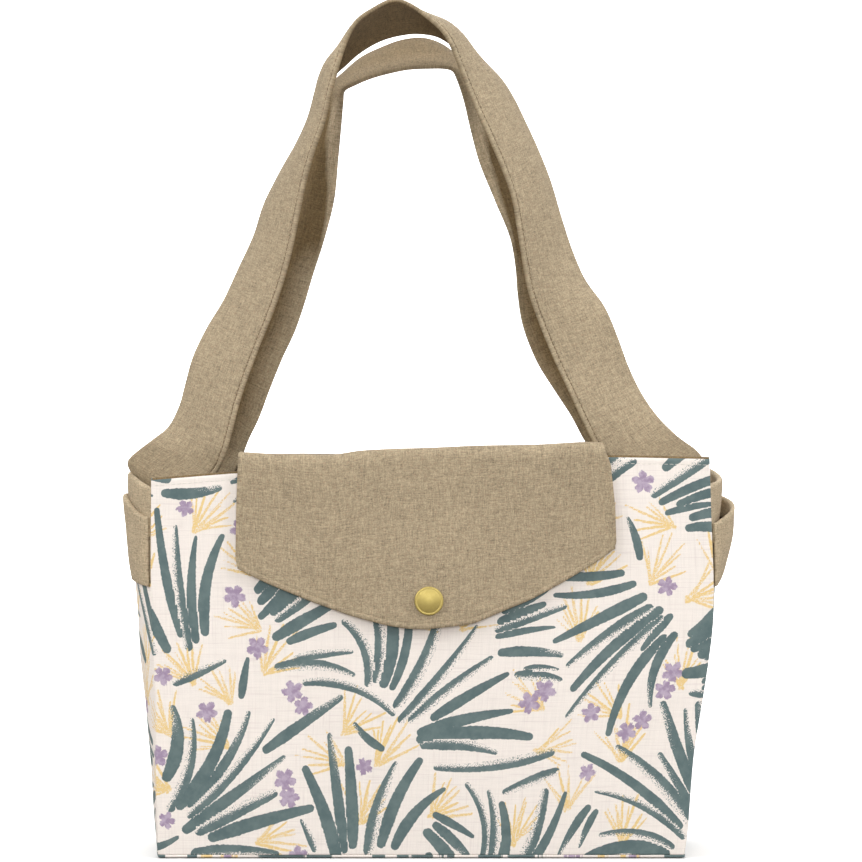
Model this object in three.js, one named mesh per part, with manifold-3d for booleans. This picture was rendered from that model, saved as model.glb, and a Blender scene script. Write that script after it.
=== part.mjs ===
// Fabric tool tote: a boxy sewn bag with two shoulder handles, a snap-closed flap and a small
// pocket on each end gusset.  Millimetres, +Z up, front towards -Y, +X to the right as seen
// from the front.  Origin: centre of the base, on the ground.
import * as THREE from 'three';
import { mergeVertices } from 'three/addons/utils/BufferGeometryUtils.js';
import Module from 'manifold-3d';

// ---------------------------------------------------------------- driving dimensions
const DEPTH = 78;            // front face to back face
const HALF = DEPTH / 2;
const OUTER_T = 1.4;         // interfaced outer cloth
const LINING_T = 0.9;
const HEM_T = 0.9;
const BASE_T = 1.8;
const STRAP_T = 2.2;         // handle strap, cloth folded in four
const FLAP_T = 1.2;
const FLAP_LINING_T = 0.8;
const GAP = 0.4;             // running clearance between layers

const WALL_Z = BASE_T + GAP;              // walls stand on the base panel
const LINING_IN = OUTER_T + GAP;          // outer face to the lining
const INNER_IN = LINING_IN + LINING_T + GAP; // outer face to whatever lies inside the lining
const GUSSET_Y = HALF - LINING_IN;        // gussets fit between the two panels

const BELLY = 2.5;           // crown of the front and back panels
const BELLY_TOP_Z = 219;     // height where that crown has died out
const YOKE_Z = 150;          // where the linen gusset band starts
const POCKET_Z = 149;        // bottom of the end pockets

const SNAP_X = -1.1;
const SNAP_Z = 141.1;
const SNAP_CAP_R = 7.8;
const SNAP_HOLE_R = 2.1;
const ROUND_SEGMENTS = 20;

const FRONT = -1;            // signs along Y
const BACK = 1;

// ---------------------------------------------------------------- materials
const LINEN = { color: 0xa8977a, roughness: 0.92, metalness: 0 };
const PRINT = { color: 0xefe6df, roughness: 0.9, metalness: 0 };
const LINING = { color: 0xe6ddd0, roughness: 0.92, metalness: 0 };
const BRASS = { color: 0xc9b56a, roughness: 0.32, metalness: 1 };

const model = new THREE.Group();
function add(name, geometry, look, parent = model) {
  geometry.computeVertexNormals();
  const mesh = new THREE.Mesh(geometry, new THREE.MeshStandardMaterial(look));
  mesh.name = name;
  parent.add(mesh);
}

// ---------------------------------------------------------------- numbers
const { clamp } = THREE.MathUtils;
const lerp = (a, b, t) => a + (b - a) * t;
const steps = (a, b, n) => Array.from({ length: n + 1 }, (_, i) => lerp(a, b, i / n));
// an entry is either a number or a rule giving one at a place
const valueAt = (entry, place) => (typeof entry === 'function' ? entry(place) : entry);

// straight-line lookup in rows of [key, value], held constant beyond both ends
function table(rows, key) {
  if (key <= rows[0][0]) return rows[0][1];
  for (let i = 1; i < rows.length; i++) {
    const [key0, value0] = rows[i - 1];
    const [key1, value1] = rows[i];
    if (key <= key1) return lerp(value0, value1, (key - key0) / (key1 - key0));
  }
  return rows[rows.length - 1][1];
}

// ---------------------------------------------------------------- sheets
// closed slab between two equal grids of points; faces are turned to point out
function slab(gridA, gridB) {
  const rows = gridA.length;
  const cols = gridA[0].length;
  const positions = [gridA, gridB].flat(3);
  const index = [];
  const a = (i, j) => i * cols + j;
  const b = (i, j) => rows * cols + a(i, j);
  const quad = (p, q, r, s) => index.push(p, q, r, p, r, s);
  for (let i = 0; i < rows - 1; i++) {
    for (let j = 0; j < cols - 1; j++) {
      quad(a(i, j), a(i + 1, j), a(i + 1, j + 1), a(i, j + 1));
      quad(b(i, j), b(i, j + 1), b(i + 1, j + 1), b(i + 1, j));
    }
  }
  const endRow = rows - 1;
  const endCol = cols - 1;
  for (let i = 0; i < endRow; i++) {
    quad(a(i, 0), b(i, 0), b(i + 1, 0), a(i + 1, 0));
    quad(a(i, endCol), a(i + 1, endCol), b(i + 1, endCol), b(i, endCol));
  }
  for (let j = 0; j < endCol; j++) {
    quad(a(0, j), a(0, j + 1), b(0, j + 1), b(0, j));
    quad(a(endRow, j), b(endRow, j), b(endRow, j + 1), a(endRow, j + 1));
  }

  // a negative signed volume means the faces point in
  let volume = 0;
  for (let k = 0; k < index.length; k += 3) {
    const [p, q, r] = [0, 1, 2].map(
      (m) => new THREE.Vector3().fromArray(positions, index[k + m] * 3));
    volume += p.dot(q.cross(r));
  }
  if (volume < 0) index.reverse();

  const geometry = new THREE.BufferGeometry();
  geometry.setAttribute('position', new THREE.Float32BufferAttribute(positions, 3));
  geometry.setIndex(index);
  return geometry;
}

// slab whose two faces are pointAt(u, v, 0) and pointAt(u, v, 1)
function layered(us, vs, pointAt) {
  const face = (layer) => us.map((u) => vs.map((v) => pointAt(u, v, layer)));
  return slab(face(0), face(1));
}

// sheet of cloth: the surface pointAt(u, v), shifted by offset along its normal
function cloth(us, vs, pointAt, offset, thickness) {
  const points = us.map((u) => vs.map((v) => new THREE.Vector3(...pointAt(u, v))));
  const endU = us.length - 1;
  const endV = vs.length - 1;
  const normals = points.map((row, i) => row.map((_, j) => {
    const du = points[Math.min(i + 1, endU)][j].clone().sub(points[Math.max(i - 1, 0)][j]);
    const dv = row[Math.min(j + 1, endV)].clone().sub(row[Math.max(j - 1, 0)]);
    return du.cross(dv).normalize();
  }));
  const shifted = (distance) => points.map((row, i) => row.map(
    (p, j) => p.clone().addScaledVector(normals[i][j], distance).toArray()));
  return slab(shifted(offset + thickness / 2), shifted(offset - thickness / 2));
}

// ---------------------------------------------------------------- snap hole
const manifold = await Module();
manifold.setup();

function toManifold(geometry) {
  const bare = geometry.clone();
  bare.deleteAttribute('normal');
  bare.deleteAttribute('uv');
  const merged = mergeVertices(bare, 1e-4);
  return new manifold.Manifold(new manifold.Mesh({
    numProp: 3,
    vertProperties: merged.attributes.position.array,
    triVerts: new Uint32Array(merged.index.array),
  }));
}

function fromManifold(solid) {
  const mesh = solid.getMesh();
  const geometry = new THREE.BufferGeometry();
  geometry.setAttribute('position', new THREE.Float32BufferAttribute(mesh.vertProperties, 3));
  geometry.setIndex(Array.from(mesh.triVerts));
  return geometry;
}

// round hole along Y through a cloth, at the snap; y is the middle of the drill
const DRILL_LENGTH = 24;
function punched(geometry, y) {
  const drill = new THREE.CylinderGeometry(SNAP_HOLE_R, SNAP_HOLE_R, DRILL_LENGTH, ROUND_SEGMENTS);
  drill.translate(SNAP_X, y, SNAP_Z);
  return fromManifold(toManifold(geometry).subtract(toManifold(drill)));
}

// ---------------------------------------------------------------- the body's shape
// 0 at the front and back faces, 1 at mid depth
const across = (y) => Math.cos((Math.PI * y) / DEPTH);

// Each end of the bag.  Tables are [z, x] for edge, the side edge of the front and back panels,
// and [z, distance out from that edge at mid depth] for bulge (gusset) and pocketBulge.
// lip and pocketLip are the top lines of the gusset and the pocket, by y.
const LEFT = {
  name: 'left',
  sign: -1,
  edge: [
    [0, -148.5], [40, -149.5], [85, -149.5], [100, -150.1], [121, -151.1], [150, -152.2],
    [215, -151.7],
  ],
  bulge: [
    [0, 2.2], [28, 4.2], [50, 4.8], [72, 7.3], [94, 9], [116, 10.2], [138, 10.5], [149, 10.6],
    [170, 12], [198, 15],
  ],
  lip: (y) => lerp(201.6, 204.4, across(y)) + 0.02 * Math.max(y, 0),
  pocketBulge: [[149, 10.8], [160, 12.4], [170, 13.6], [185, 15], [200, 16.4]],
  pocketLip: (y) => 184 + 0.14 * (y + HALF) + 3.6 * across(y),
};
const RIGHT = {
  name: 'right',
  sign: 1,
  edge: [
    [0, 137.5], [6, 139], [38, 141.2], [60, 143.2], [82, 147], [108, 150.6], [126, 153],
    [150, 153.6], [183, 152.2], [219, 151.1],
  ],
  bulge: [[0, 1.2], [130, 2], [150, 3], [170, 5], [200, 8.5], [214, 9.5]],
  lip: (y) => 203.6 + 0.033 * (y + HALF) + 0.11 * Math.max(y, 0),
  pocketBulge: [[149, 3.6], [151, 5.2], [162, 8.6], [175, 11.8], [190, 14.4], [200, 16]],
  pocketLip: (y) => 182.6 + 0.165 * (y + HALF) + 0.8 * across(y),
};
const leftX = (z) => table(LEFT.edge, z);
const rightX = (z) => table(RIGHT.edge, z);
const gussetX = (end, y, z) => table(end.edge, z) + end.sign * table(end.bulge, z) * across(y);

// mouth line of the front panel, [x, z], and of the back panel, a straight slope
const FRONT_MOUTH = [[-152, 207.2], [-105, 211], [-20, 216], [96, 219.7], [152, 218.6]];
const BACK_MOUTH = { x: -152, z: 210.5, run: 304, rise: 4.5 };
const frontTop = (x) => table(FRONT_MOUTH, x);
const backTop = (x) => BACK_MOUTH.z + (BACK_MOUTH.rise * (x - BACK_MOUTH.x)) / BACK_MOUTH.run;

// outer face of the front or back panel
function faceY(side, x, z) {
  const widthPart = clamp((x - leftX(z)) / (rightX(z) - leftX(z)), 0, 1);
  const heightPart = clamp(z / BELLY_TOP_Z, 0, 1);
  return side * (HALF + BELLY * Math.sin(Math.PI * widthPart) * Math.sin(Math.PI * heightPart));
}

// ---------------------------------------------------------------- panels, hems and linings
// heights shared by every wall, so that neighbouring walls follow the same chords
const LOWER_ROWS = [WALL_Z, 28, 40, 60, 82, 94, 108, 126, 149.6];
const UPPER_ROWS = [175, 190];
const WALL_ROWS = [...LOWER_ROWS, ...UPPER_ROWS];
const MOUTH_SPAN_Z = 150;    // the mouth line is looked up across the width at this height
const LINING_DROP = 3;       // linings stop this far below the mouth of the panels
const GUSSET_LINING_DROP = 4;

// front or back wall: depthIn is measured in from the outer face, inset from both side edges
function panelWall(side, depthIn, thickness, inset, top) {
  const xAt = (u, z) => lerp(leftX(z) + inset, rightX(z) - inset, u);
  return layered(steps(0, 1, 14), [...WALL_ROWS, top], (u, row, layer) => {
    const z = valueAt(row, xAt(u, MOUTH_SPAN_Z));
    const x = xAt(u, z);
    return [x, faceY(side, x, z) - side * (depthIn + layer * thickness), z];
  });
}
const panel = (side, top) => panelWall(side, 0, OUTER_T, 0, top);
const panelLining = (side, top) =>
  panelWall(side, LINING_IN, LINING_T, INNER_IN, (x) => top(x) - LINING_DROP);
add('front_panel', punched(panel(FRONT, frontTop), -HALF), PRINT);
add('back_panel', panel(BACK, backTop), PRINT);
add('front_lining', punched(panelLining(FRONT, frontTop), -HALF), LINING);
add('back_lining', panelLining(BACK, backTop), LINING);

// turned hem inside the mouth
const HEM_H = 16;
const HEM_DROP = 1;          // mouth line to the top of the hem
const HEM_SPAN_Z = 200;      // its width is taken at this height
const HEM_INSET = INNER_IN + 0.6;
function hem(side, top) {
  const left = leftX(HEM_SPAN_Z) + HEM_INSET;
  const right = rightX(HEM_SPAN_Z) - HEM_INSET;
  return layered(steps(0, 1, 12), [0, 1], (u, v, layer) => {
    const x = lerp(left, right, u);
    const z = top(x) - HEM_DROP - HEM_H * (1 - v);
    return [x, faceY(side, x, z) - side * (INNER_IN + layer * HEM_T), z];
  });
}
add('front_hem_facing', hem(FRONT, frontTop), PRINT);
add('back_hem_facing', hem(BACK, backTop), LINEN);

// ---------------------------------------------------------------- gussets and end pockets
function gussetWall(end, inset, thickness, rows) {
  return layered(steps(-GUSSET_Y, GUSSET_Y, 10), rows, (y, row, layer) => {
    const z = valueAt(row, y);
    return [gussetX(end, y, z) - end.sign * (inset + layer * thickness), y, z];
  });
}

// patch over the upper gusset, standing further out towards its top
function pocket(end) {
  return layered(steps(-GUSSET_Y, GUSSET_Y, 12), steps(0, 1, 4), (y, v, layer) => {
    const z = lerp(POCKET_Z, end.pocketLip(y), v);
    const bulge = table(end.pocketBulge, z) * Math.pow(across(y), 0.8);
    const out = GAP + OUTER_T + bulge - layer * OUTER_T;
    return [table(end.edge, z) + end.sign * out, y, z];
  });
}

for (const end of [LEFT, RIGHT]) {
  const liningRows = [...WALL_ROWS, (y) => end.lip(y) - GUSSET_LINING_DROP];
  const yokeRows = [YOKE_Z, ...UPPER_ROWS, end.lip];
  add(`${end.name}_gusset`, gussetWall(end, 0, OUTER_T, LOWER_ROWS), PRINT);
  add(`${end.name}_gusset_yoke`, gussetWall(end, 0, OUTER_T, yokeRows), LINEN);
  add(`${end.name}_lining`, gussetWall(end, LINING_IN, LINING_T, liningRows), LINING);
  add(`${end.name}_pocket`, pocket(end), LINEN);
}

// ---------------------------------------------------------------- base
const FOOT_Z = 4;            // the base follows the gussets' outline at this height
const BASE_SLACK = 0.1;      // extra room under and in front of and behind the base lining
const BASE_END_SLACK = 0.2;  // extra room at its two ends
function basePad(inset, halfDepth, bottom, thickness) {
  return layered(steps(0, 1, 10), steps(-halfDepth, halfDepth, 6), (u, y, layer) => {
    const left = gussetX(LEFT, y, FOOT_Z) + inset;
    const right = gussetX(RIGHT, y, FOOT_Z) - inset;
    return [lerp(left, right, u), y, bottom + layer * thickness];
  });
}
const BASE_LINING_Y = HALF - INNER_IN - BASE_SLACK;
add('base_panel', basePad(0, HALF, 0, BASE_T), PRINT);
add('base_lining',
  basePad(INNER_IN + BASE_END_SLACK, BASE_LINING_Y, WALL_Z + BASE_SLACK, LINING_T), LINING);

// ---------------------------------------------------------------- handles
// Stations: [rear edge x, y, z, front edge x, y, z, crown], from the left root to the right.
const FRONT_HANDLE = [
  [-165.5, -9.0, 214.1, -130.4, -31.0, 197.4, 0],
  [-158.7, -13.5, 220.9, -122.9, -28.5, 204.9, 1],
  [-150.9, -16.0, 226.6, -116.4, -28.0, 210.9, 1.5],
  [-144.0, -12.0, 231.8, -112.4, -32.0, 219.8, 2],
  [-137.3, -9.7, 243.8, -108.5, -34.3, 233.0, 2],
  [-133.7, -9.4, 256.4, -104.7, -34.6, 247.7, 2],
  [-129.9, -9.8, 270.1, -100.4, -34.2, 260.7, 2],
  [-122.2, -9.0, 286.6, -93.9, -35.0, 278.1, 2],
  [-112.4, -7.5, 303.0, -86.2, -36.5, 297.2, 2.5],
  [-104.8, -6.7, 319.4, -80.8, -37.3, 312.9, 2.5],
  [-97.1, -5.6, 335.9, -76.4, -38.4, 328.7, 3],
  [-89.5, -4.7, 357.9, -71.0, -39.3, 354.8, 3.5],
  [-80.7, -3.6, 374.4, -67.7, -40.4, 369.9, 4],
  [-72.5, -3.0, 387.6, -63.3, -41.0, 385.1, 4],
  [-64.8, -2.7, 401.9, -57.9, -41.3, 400.3, 4.5],
  [-59.9, -2.6, 414.0, -54.7, -41.4, 414.4, 5],
  [-56.0, -2.6, 422.8, -52.0, -41.4, 424.1, 6],
  [-52.2, -2.7, 427.2, -49.8, -41.3, 431.7, 6.5],
  [-46.7, -3.2, 432.1, -46.6, -40.8, 441.5, 5],
  [-40.6, -4.1, 437.6, -41.7, -39.9, 451.8, 3.5],
  [-28.6, -4.5, 444.8, -30.9, -39.5, 460.5, 2],
  [-18.1, -4.9, 448.0, -19.0, -39.1, 465.4, 1],
  [-9.3, -3.9, 449.2, -10.3, -40.1, 462.1, 2],
  [-1.6, -3.1, 448.7, -2.7, -40.9, 456.7, 4],
  [4.9, -2.6, 447.0, 4.9, -41.4, 450.2, 6],
  [13.7, -2.7, 441.5, 9.7, -41.3, 443.7, 6.5],
  [24.7, -3.2, 433.8, 14.1, -40.8, 433.9, 5],
  [36.2, -4.5, 425.0, 19.5, -39.5, 419.8, 4],
  [44.5, -5.2, 412.9, 26.0, -38.8, 404.1, 3.5],
  [51.0, -5.4, 399.7, 32.0, -38.6, 391.1, 3],
  [57.6, -5.5, 385.4, 37.9, -38.5, 377.5, 3],
  [64.2, -5.6, 368.9, 43.9, -38.4, 361.3, 2.5],
  [70.8, -6.4, 346.9, 47.7, -37.6, 340.6, 2.5],
  [76.2, -7.5, 330.4, 50.4, -36.5, 324.3, 2],
  [83.3, -9.5, 314.0, 53.7, -34.5, 307.5, 2],
  [94.1, -13.5, 298.7, 60.3, -30.5, 288.9, 2],
  [101.2, -13.8, 282.3, 68.0, -30.2, 270.3, 2],
  [107.3, -12.2, 265.8, 76.1, -31.8, 253.0, 2],
  [114.9, -12.6, 250.5, 83.7, -31.4, 236.6, 2],
  [123.0, -14.7, 239.1, 90.8, -29.3, 222.9, 1.5],
  [134.1, -13.5, 228.1, 101.7, -28.5, 209.8, 1],
  [145.8, -9.0, 219.0, 115.8, -31.0, 196.4, 0],
];
const BACK_HANDLE = [
  [-153, 30, 210.5, -126.4, 9.0, 192.0, 0],
  [-147.9, 28.5, 224.1, -113.3, 13.5, 206.1, 1],
  [-140.7, 28.2, 233.1, -107.9, 15.8, 214.9, 1.5],
  [-133.0, 29.7, 243.6, -101.8, 14.3, 224.9, 2],
  [-125.3, 32.5, 252.9, -96.1, 11.5, 236.7, 2],
  [-117.6, 34.9, 264.5, -90.0, 9.1, 252.8, 2],
  [-109.8, 35.7, 279.6, -82.8, 8.3, 270.5, 2],
  [-102.6, 35.8, 294.7, -75.6, 8.2, 286.0, 2],
  [-97.0, 36.3, 308.0, -70.6, 7.7, 300.4, 2],
  [-92.6, 36.3, 322.6, -66.2, 7.7, 315.3, 2],
  [-83.7, 37.3, 342.7, -59.6, 6.7, 335.8, 2],
  [-75.4, 38.5, 361.7, -54.0, 5.5, 357.9, 2.5],
  [-70.3, 39.4, 381.8, -51.8, 4.6, 379.9, 3],
  [-64.8, 40.2, 400.8, -50.1, 3.8, 399.2, 3.5],
  [-59.2, 40.9, 413.7, -49.0, 3.1, 411.4, 3.5],
  [-52.5, 41.3, 422.6, -47.9, 2.7, 418.0, 3],
  [-46.9, 41.1, 428.8, -41.8, 2.9, 421.3, 2.5],
  [-39.1, 40.7, 435.5, -34.1, 3.3, 424.6, 2],
  [-26.8, 40.3, 441.6, -23.7, 3.7, 427.6, 1.5],
  [-14.5, 40.0, 445.8, -12.7, 4.0, 429.8, 1],
  [-1.7, 40.1, 446.1, -1.1, 3.9, 430.4, 1.5],
  [8.4, 40.8, 441.6, 7.2, 3.2, 430.3, 2],
  [15.6, 41.3, 434.9, 12.1, 2.7, 429.0, 3],
  [21.8, 41.3, 424.9, 15.4, 2.7, 422.9, 3.5],
  [29.0, 40.8, 416.5, 18.7, 3.2, 413.0, 3.5],
  [37.4, 39.9, 402.5, 22.6, 4.1, 396.5, 3],
  [44.7, 39.2, 387.4, 27.0, 4.8, 379.9, 2.5],
  [55.8, 38.4, 366.7, 35.8, 5.6, 357.9, 2.5],
  [67.0, 37.6, 344.9, 44.7, 6.4, 335.8, 2],
  [73.1, 36.6, 327.6, 47.4, 7.4, 320.3, 2],
  [76.4, 35.7, 311.4, 48.6, 8.3, 305.4, 2],
  [79.2, 35.1, 299.1, 50.8, 8.9, 291.0, 2],
  [85.8, 34.7, 282.4, 58.0, 9.3, 271.1, 2],
  [98.6, 34.4, 262.9, 71.2, 9.6, 249.5, 2],
  [106.4, 33.8, 252.9, 78.4, 10.2, 238.4, 2],
  [113.0, 31.8, 245.1, 85.6, 12.2, 225.0, 1.5],
  [127.9, 28.5, 230.8, 100.1, 13.5, 206.1, 1],
  [144.1, 31.0, 215.6, 115.3, 9.0, 192.0, 0],
];
// the sewn ends run down from the roots, in the same columns
const HANDLES = {
  front: {
    stations: FRONT_HANDLE,
    left: [[-162, -6, 203, -141, -31.5, 184, 0], [-160.3, -4, 188, -149.6, -32, 164, 0]],
    right: [[152.5, -6, 206, 134, -31.5, 182, 0], [151.8, -4, 190, 147.5, -32, 166, 0]],
  },
  back: {
    stations: BACK_HANDLE,
    left: [[-151, 31.5, 200, -148, 7, 180, 0], [-149.6, 32, 186, -158, 4, 163, 0]],
    right: [[147.5, 31.5, 203, 140, 7, 182, 0], [147.5, 32, 190, 152, 4, 166, 0]],
  },
};
const END_START = 0.05;      // part of the way from root to first end station left free

// ribbon carried between its two edges; crown bows its middle to the outside of the arch
function strap(stations) {
  const pointAt = (i, v) => {
    const station = stations[i];
    const before = stations[Math.max(i - 1, 0)];
    const after = stations[Math.min(i + 1, stations.length - 1)];
    const rear = new THREE.Vector3(...station.slice(0, 3));
    const front = new THREE.Vector3(...station.slice(3, 6));
    const along = new THREE.Vector3(
      ...[0, 1, 2].map((k) => after[k] - before[k] + after[k + 3] - before[k + 3]));
    const outward = front.clone().sub(rear).cross(along).normalize();
    const bow = station[6] * 4 * v * (1 - v);
    return rear.lerp(front, v).addScaledVector(outward, bow).toArray();
  };
  return cloth([...stations.keys()], steps(0, 1, 4), pointAt, 0, STRAP_T);
}

function handleEnd(root, rest) {
  const start = root.map((value, i) => lerp(value, rest[0][i], END_START));
  return strap([start, ...rest]);
}

for (const [name, { stations, left, right }] of Object.entries(HANDLES)) {
  add(`${name}_handle`, strap(stations), LINEN);
  add(`${name}_handle_left_end`, handleEnd(stations[0], left), LINEN);
  add(`${name}_handle_right_end`, handleEnd(stations.at(-1), right), LINEN);
}

// ---------------------------------------------------------------- flap
// crest of the front fold, [x, z]
const CREST = [
  [-103, 221.4], [-81, 220.3], [-56, 219.2], [-50, 219.8], [-39, 222], [-19.5, 223.6],
  [5.4, 224.1], [26.5, 224.7], [58, 225.2], [86.6, 226.8], [93, 226.3],
];
const CREST_TO_MID = 1.3;    // crest down to the surface the flap cloths are offset from
const crest = (x) => table(CREST, x) - CREST_TO_MID;

// lower edge, [x, z]
const FLAP_BOTTOM = [
  [-105, 159.5], [-101.1, 157.2], [-88.7, 151.2], [-64.9, 141.5], [-43.8, 133.9], [-25.4, 129],
  [-13, 126.8], [-3, 126.6], [5.4, 127.4], [23.2, 129.5], [33, 133.9], [54.1, 142.5],
  [70.3, 151.2], [86.5, 160.9], [97.3, 168], [100, 170.5],
];

// side edges of the hanging part, [z, x]; foldZ is looked up at the fold, startZ to endZ below
const DROP_LEFT = {
  edge: [[157, -103.6], [162.6, -104.9], [190.7, -104.4], [221, -103.3]],
  foldZ: 221,
  startZ: 216,
  endZ: 158.5,
};
const DROP_RIGHT = {
  edge: [[168, 98.6], [171.2, 99.5], [192.3, 98.7], [215.6, 96.2], [226.5, 92.5]],
  foldZ: 226.5,
  startZ: 221,
  endZ: 169,
};

// top part, from the back seam to the front fold; y and z may be rules by x
const SEAM_LEFT = -104;
const SEAM_RIGHT = 95;
const backFace = (x) => faceY(BACK, x, 208);
const riseToCrest = (part) => (x) => lerp(216.4, crest(x), part);
const TOP_ROWS = [
  { y: (x) => backFace(x) + 1.7, z: (x) => backTop(x) - 2.4, left: SEAM_LEFT, right: SEAM_RIGHT },
  { y: (x) => backFace(x) + 1.2, z: (x) => backTop(x) + 0.6, left: SEAM_LEFT, right: SEAM_RIGHT },
  { y: 38.6, z: (x) => backTop(x) + 2.6, left: -103.5, right: 94.5 },
  { y: 34, z: (x) => backTop(x) + 3.2, left: -102, right: 93 },
  { y: 24, z: (x) => backTop(x) + 3.0, left: -99, right: 89 },
  { y: 12, z: 215.6, left: -97, right: 86 },
  { y: 0, z: 215.2, left: -96, right: 84 },
  { y: -12, z: 215.8, left: -96, right: 84 },
  { y: -22, z: riseToCrest(0.3), left: -97.5, right: 85.5 },
  { y: -30, z: riseToCrest(0.72), left: -100, right: 88 },
  { y: -36, z: (x) => crest(x) - 0.3, left: -102.6, right: 91.5 },
];
function topAt(u, row) {
  const { y, z, left, right } = TOP_ROWS[row];
  const x = lerp(left, right, u);
  return [x, valueAt(y, x), valueAt(z, x)];
}

// turn over the front fold: y, and drop below the crest
const TURN_DROP = 5;
const frontFace = (x) => faceY(FRONT, x, 214);
const TURN_ROWS = [
  { y: -36.7, drop: 0.25 },
  { y: -39.6, drop: 0 },
  { y: (x) => frontFace(x) - 2.0, drop: 1.6 },
  { y: (x) => frontFace(x) - 3.0, drop: TURN_DROP },
];
const HANGING_ROWS = 7;

// distance in front of the front panel, swelling around the snap
const STANDOFF = 3.0;
const SNAP_STANDOFF = 4.6;
const SWELL_REACH = 40;
function standoff(x, z) {
  const distanceSq = (x - SNAP_X) ** 2 + (z - SNAP_Z) ** 2;
  return STANDOFF + (SNAP_STANDOFF - STANDOFF) * Math.exp(-distanceSq / SWELL_REACH ** 2);
}

function dropAt(u, row) {
  const xAt = (leftZ, rightZ) =>
    lerp(table(DROP_LEFT.edge, leftZ), table(DROP_RIGHT.edge, rightZ), u);
  if (row < TURN_ROWS.length) {
    const { y, drop } = TURN_ROWS[row];
    const x = xAt(DROP_LEFT.foldZ - drop, DROP_RIGHT.foldZ - drop);
    return [x, valueAt(y, x), crest(x) - drop];
  }
  const down = (row - TURN_ROWS.length + 1) / HANGING_ROWS;
  const x = xAt(
    lerp(DROP_LEFT.startZ, DROP_LEFT.endZ, down),
    lerp(DROP_RIGHT.startZ, DROP_RIGHT.endZ, down));
  const z = lerp(crest(x) - TURN_DROP, table(FLAP_BOTTOM, x), down);
  return [x, faceY(FRONT, x, z) - standoff(x, z), z];
}

// the surface normal points towards the bag, so positive offsets lie on the bag's side
const SURFACE_GAP = 0.05;    // the part of GAP on the positive side
const FLAP_OFFSET = SURFACE_GAP + FLAP_T / 2;
const FLAP_LINING_OFFSET = -(GAP - SURFACE_GAP) - FLAP_LINING_T / 2;
function flapPair(rowCount, pointAt) {
  const us = steps(0, 1, 16);
  const rows = [...Array(rowCount).keys()];
  return [
    cloth(us, rows, pointAt, FLAP_OFFSET, FLAP_T),
    cloth(us, rows, pointAt, FLAP_LINING_OFFSET, FLAP_LINING_T),
  ];
}
const SNAP_Y = faceY(FRONT, SNAP_X, SNAP_Z); // face of the front panel at the snap
const FLAP_DRILL_Y = SNAP_Y - 8;
const [flapTop, flapTopLining] = flapPair(TOP_ROWS.length, topAt);
const [flapDrop, flapDropLining] = flapPair(TURN_ROWS.length + HANGING_ROWS, dropAt);
add('flap_top', flapTop, LINEN);
add('flap_top_lining', flapTopLining, LINEN);
add('flap_drop', punched(flapDrop, FLAP_DRILL_Y), LINEN);
add('flap_drop_lining', punched(flapDropLining, FLAP_DRILL_Y), LINEN);

// strip where the flap is sewn down on the back panel
const SEAM_BOTTOM_Z = 195;
const SEAM_DROP = 3;         // back mouth line to the top of the strip
add('flap_seam', layered(steps(0, 1, 10), [0, 1], (u, v, layer) => {
  const x = lerp(SEAM_LEFT, SEAM_RIGHT, u);
  const z = lerp(SEAM_BOTTOM_Z, backTop(x) - SEAM_DROP, v);
  return [x, faceY(BACK, x, z) + GAP + layer * FLAP_T, z];
}), LINEN);

// ---------------------------------------------------------------- snap fastener
// profiles of parts turned about an axis along Y: [radius, distance out from the panel face]
const SNAP_PROFILES = {
  snap_stud: [
    [0, -4.1], [1.8, -4.1], [1.8, 0.3], [5.2, 0.3], [5.2, 0.8], [1.9, 0.8], [1.9, 1.3],
    [2.6, 1.5], [2.6, 2.1], [2.2, 2.3], [0, 2.3],
  ],
  snap_post_washer: [[2.1, -3.6], [5.2, -3.6], [5.2, -3.0], [2.1, -3.0], [2.1, -3.6]],
  snap_socket: [
    [3.1, 1.1], [5.2, 1.1], [5.6, 1.5], [5.6, 3.15], [2.0, 3.15], [2.0, 2.6], [3.1, 2.6],
    [3.1, 1.1],
  ],
  snap_cap: [
    [0, 2.75], [1.7, 2.75], [1.7, 6.15], [7.4, 6.15], [SNAP_CAP_R, 6.5], [SNAP_CAP_R, 6.9],
    [7.4, 7.25], [6.8, 7.35], [6.5, 7.3], [5.5, 7.7], [3.5, 8.35], [1.6, 8.7], [0, 8.8],
  ],
};
function turned(profile) {
  const points = profile.map(([radius, out]) => new THREE.Vector2(radius, out));
  const lathe = new THREE.LatheGeometry(points, ROUND_SEGMENTS);
  lathe.deleteAttribute('normal');
  lathe.deleteAttribute('uv');
  return mergeVertices(lathe, 1e-4).rotateX(Math.PI); // lathe axis turned to face -Y
}

const snap = new THREE.Group();
snap.position.set(SNAP_X, SNAP_Y, SNAP_Z);
model.add(snap);
for (const [name, profile] of Object.entries(SNAP_PROFILES)) {
  add(name, turned(profile), BRASS, snap);
}

export default model;
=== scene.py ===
# A tote bag in printed cloth and linen: soft walls, two linen straps, a flap with a brass snap
# and a patch pocket on each side. Shapes are worked in mm and meshes written in metres.
# x runs left to right, y from the front (-) to the back (+), z up from the floor.
import math

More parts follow.
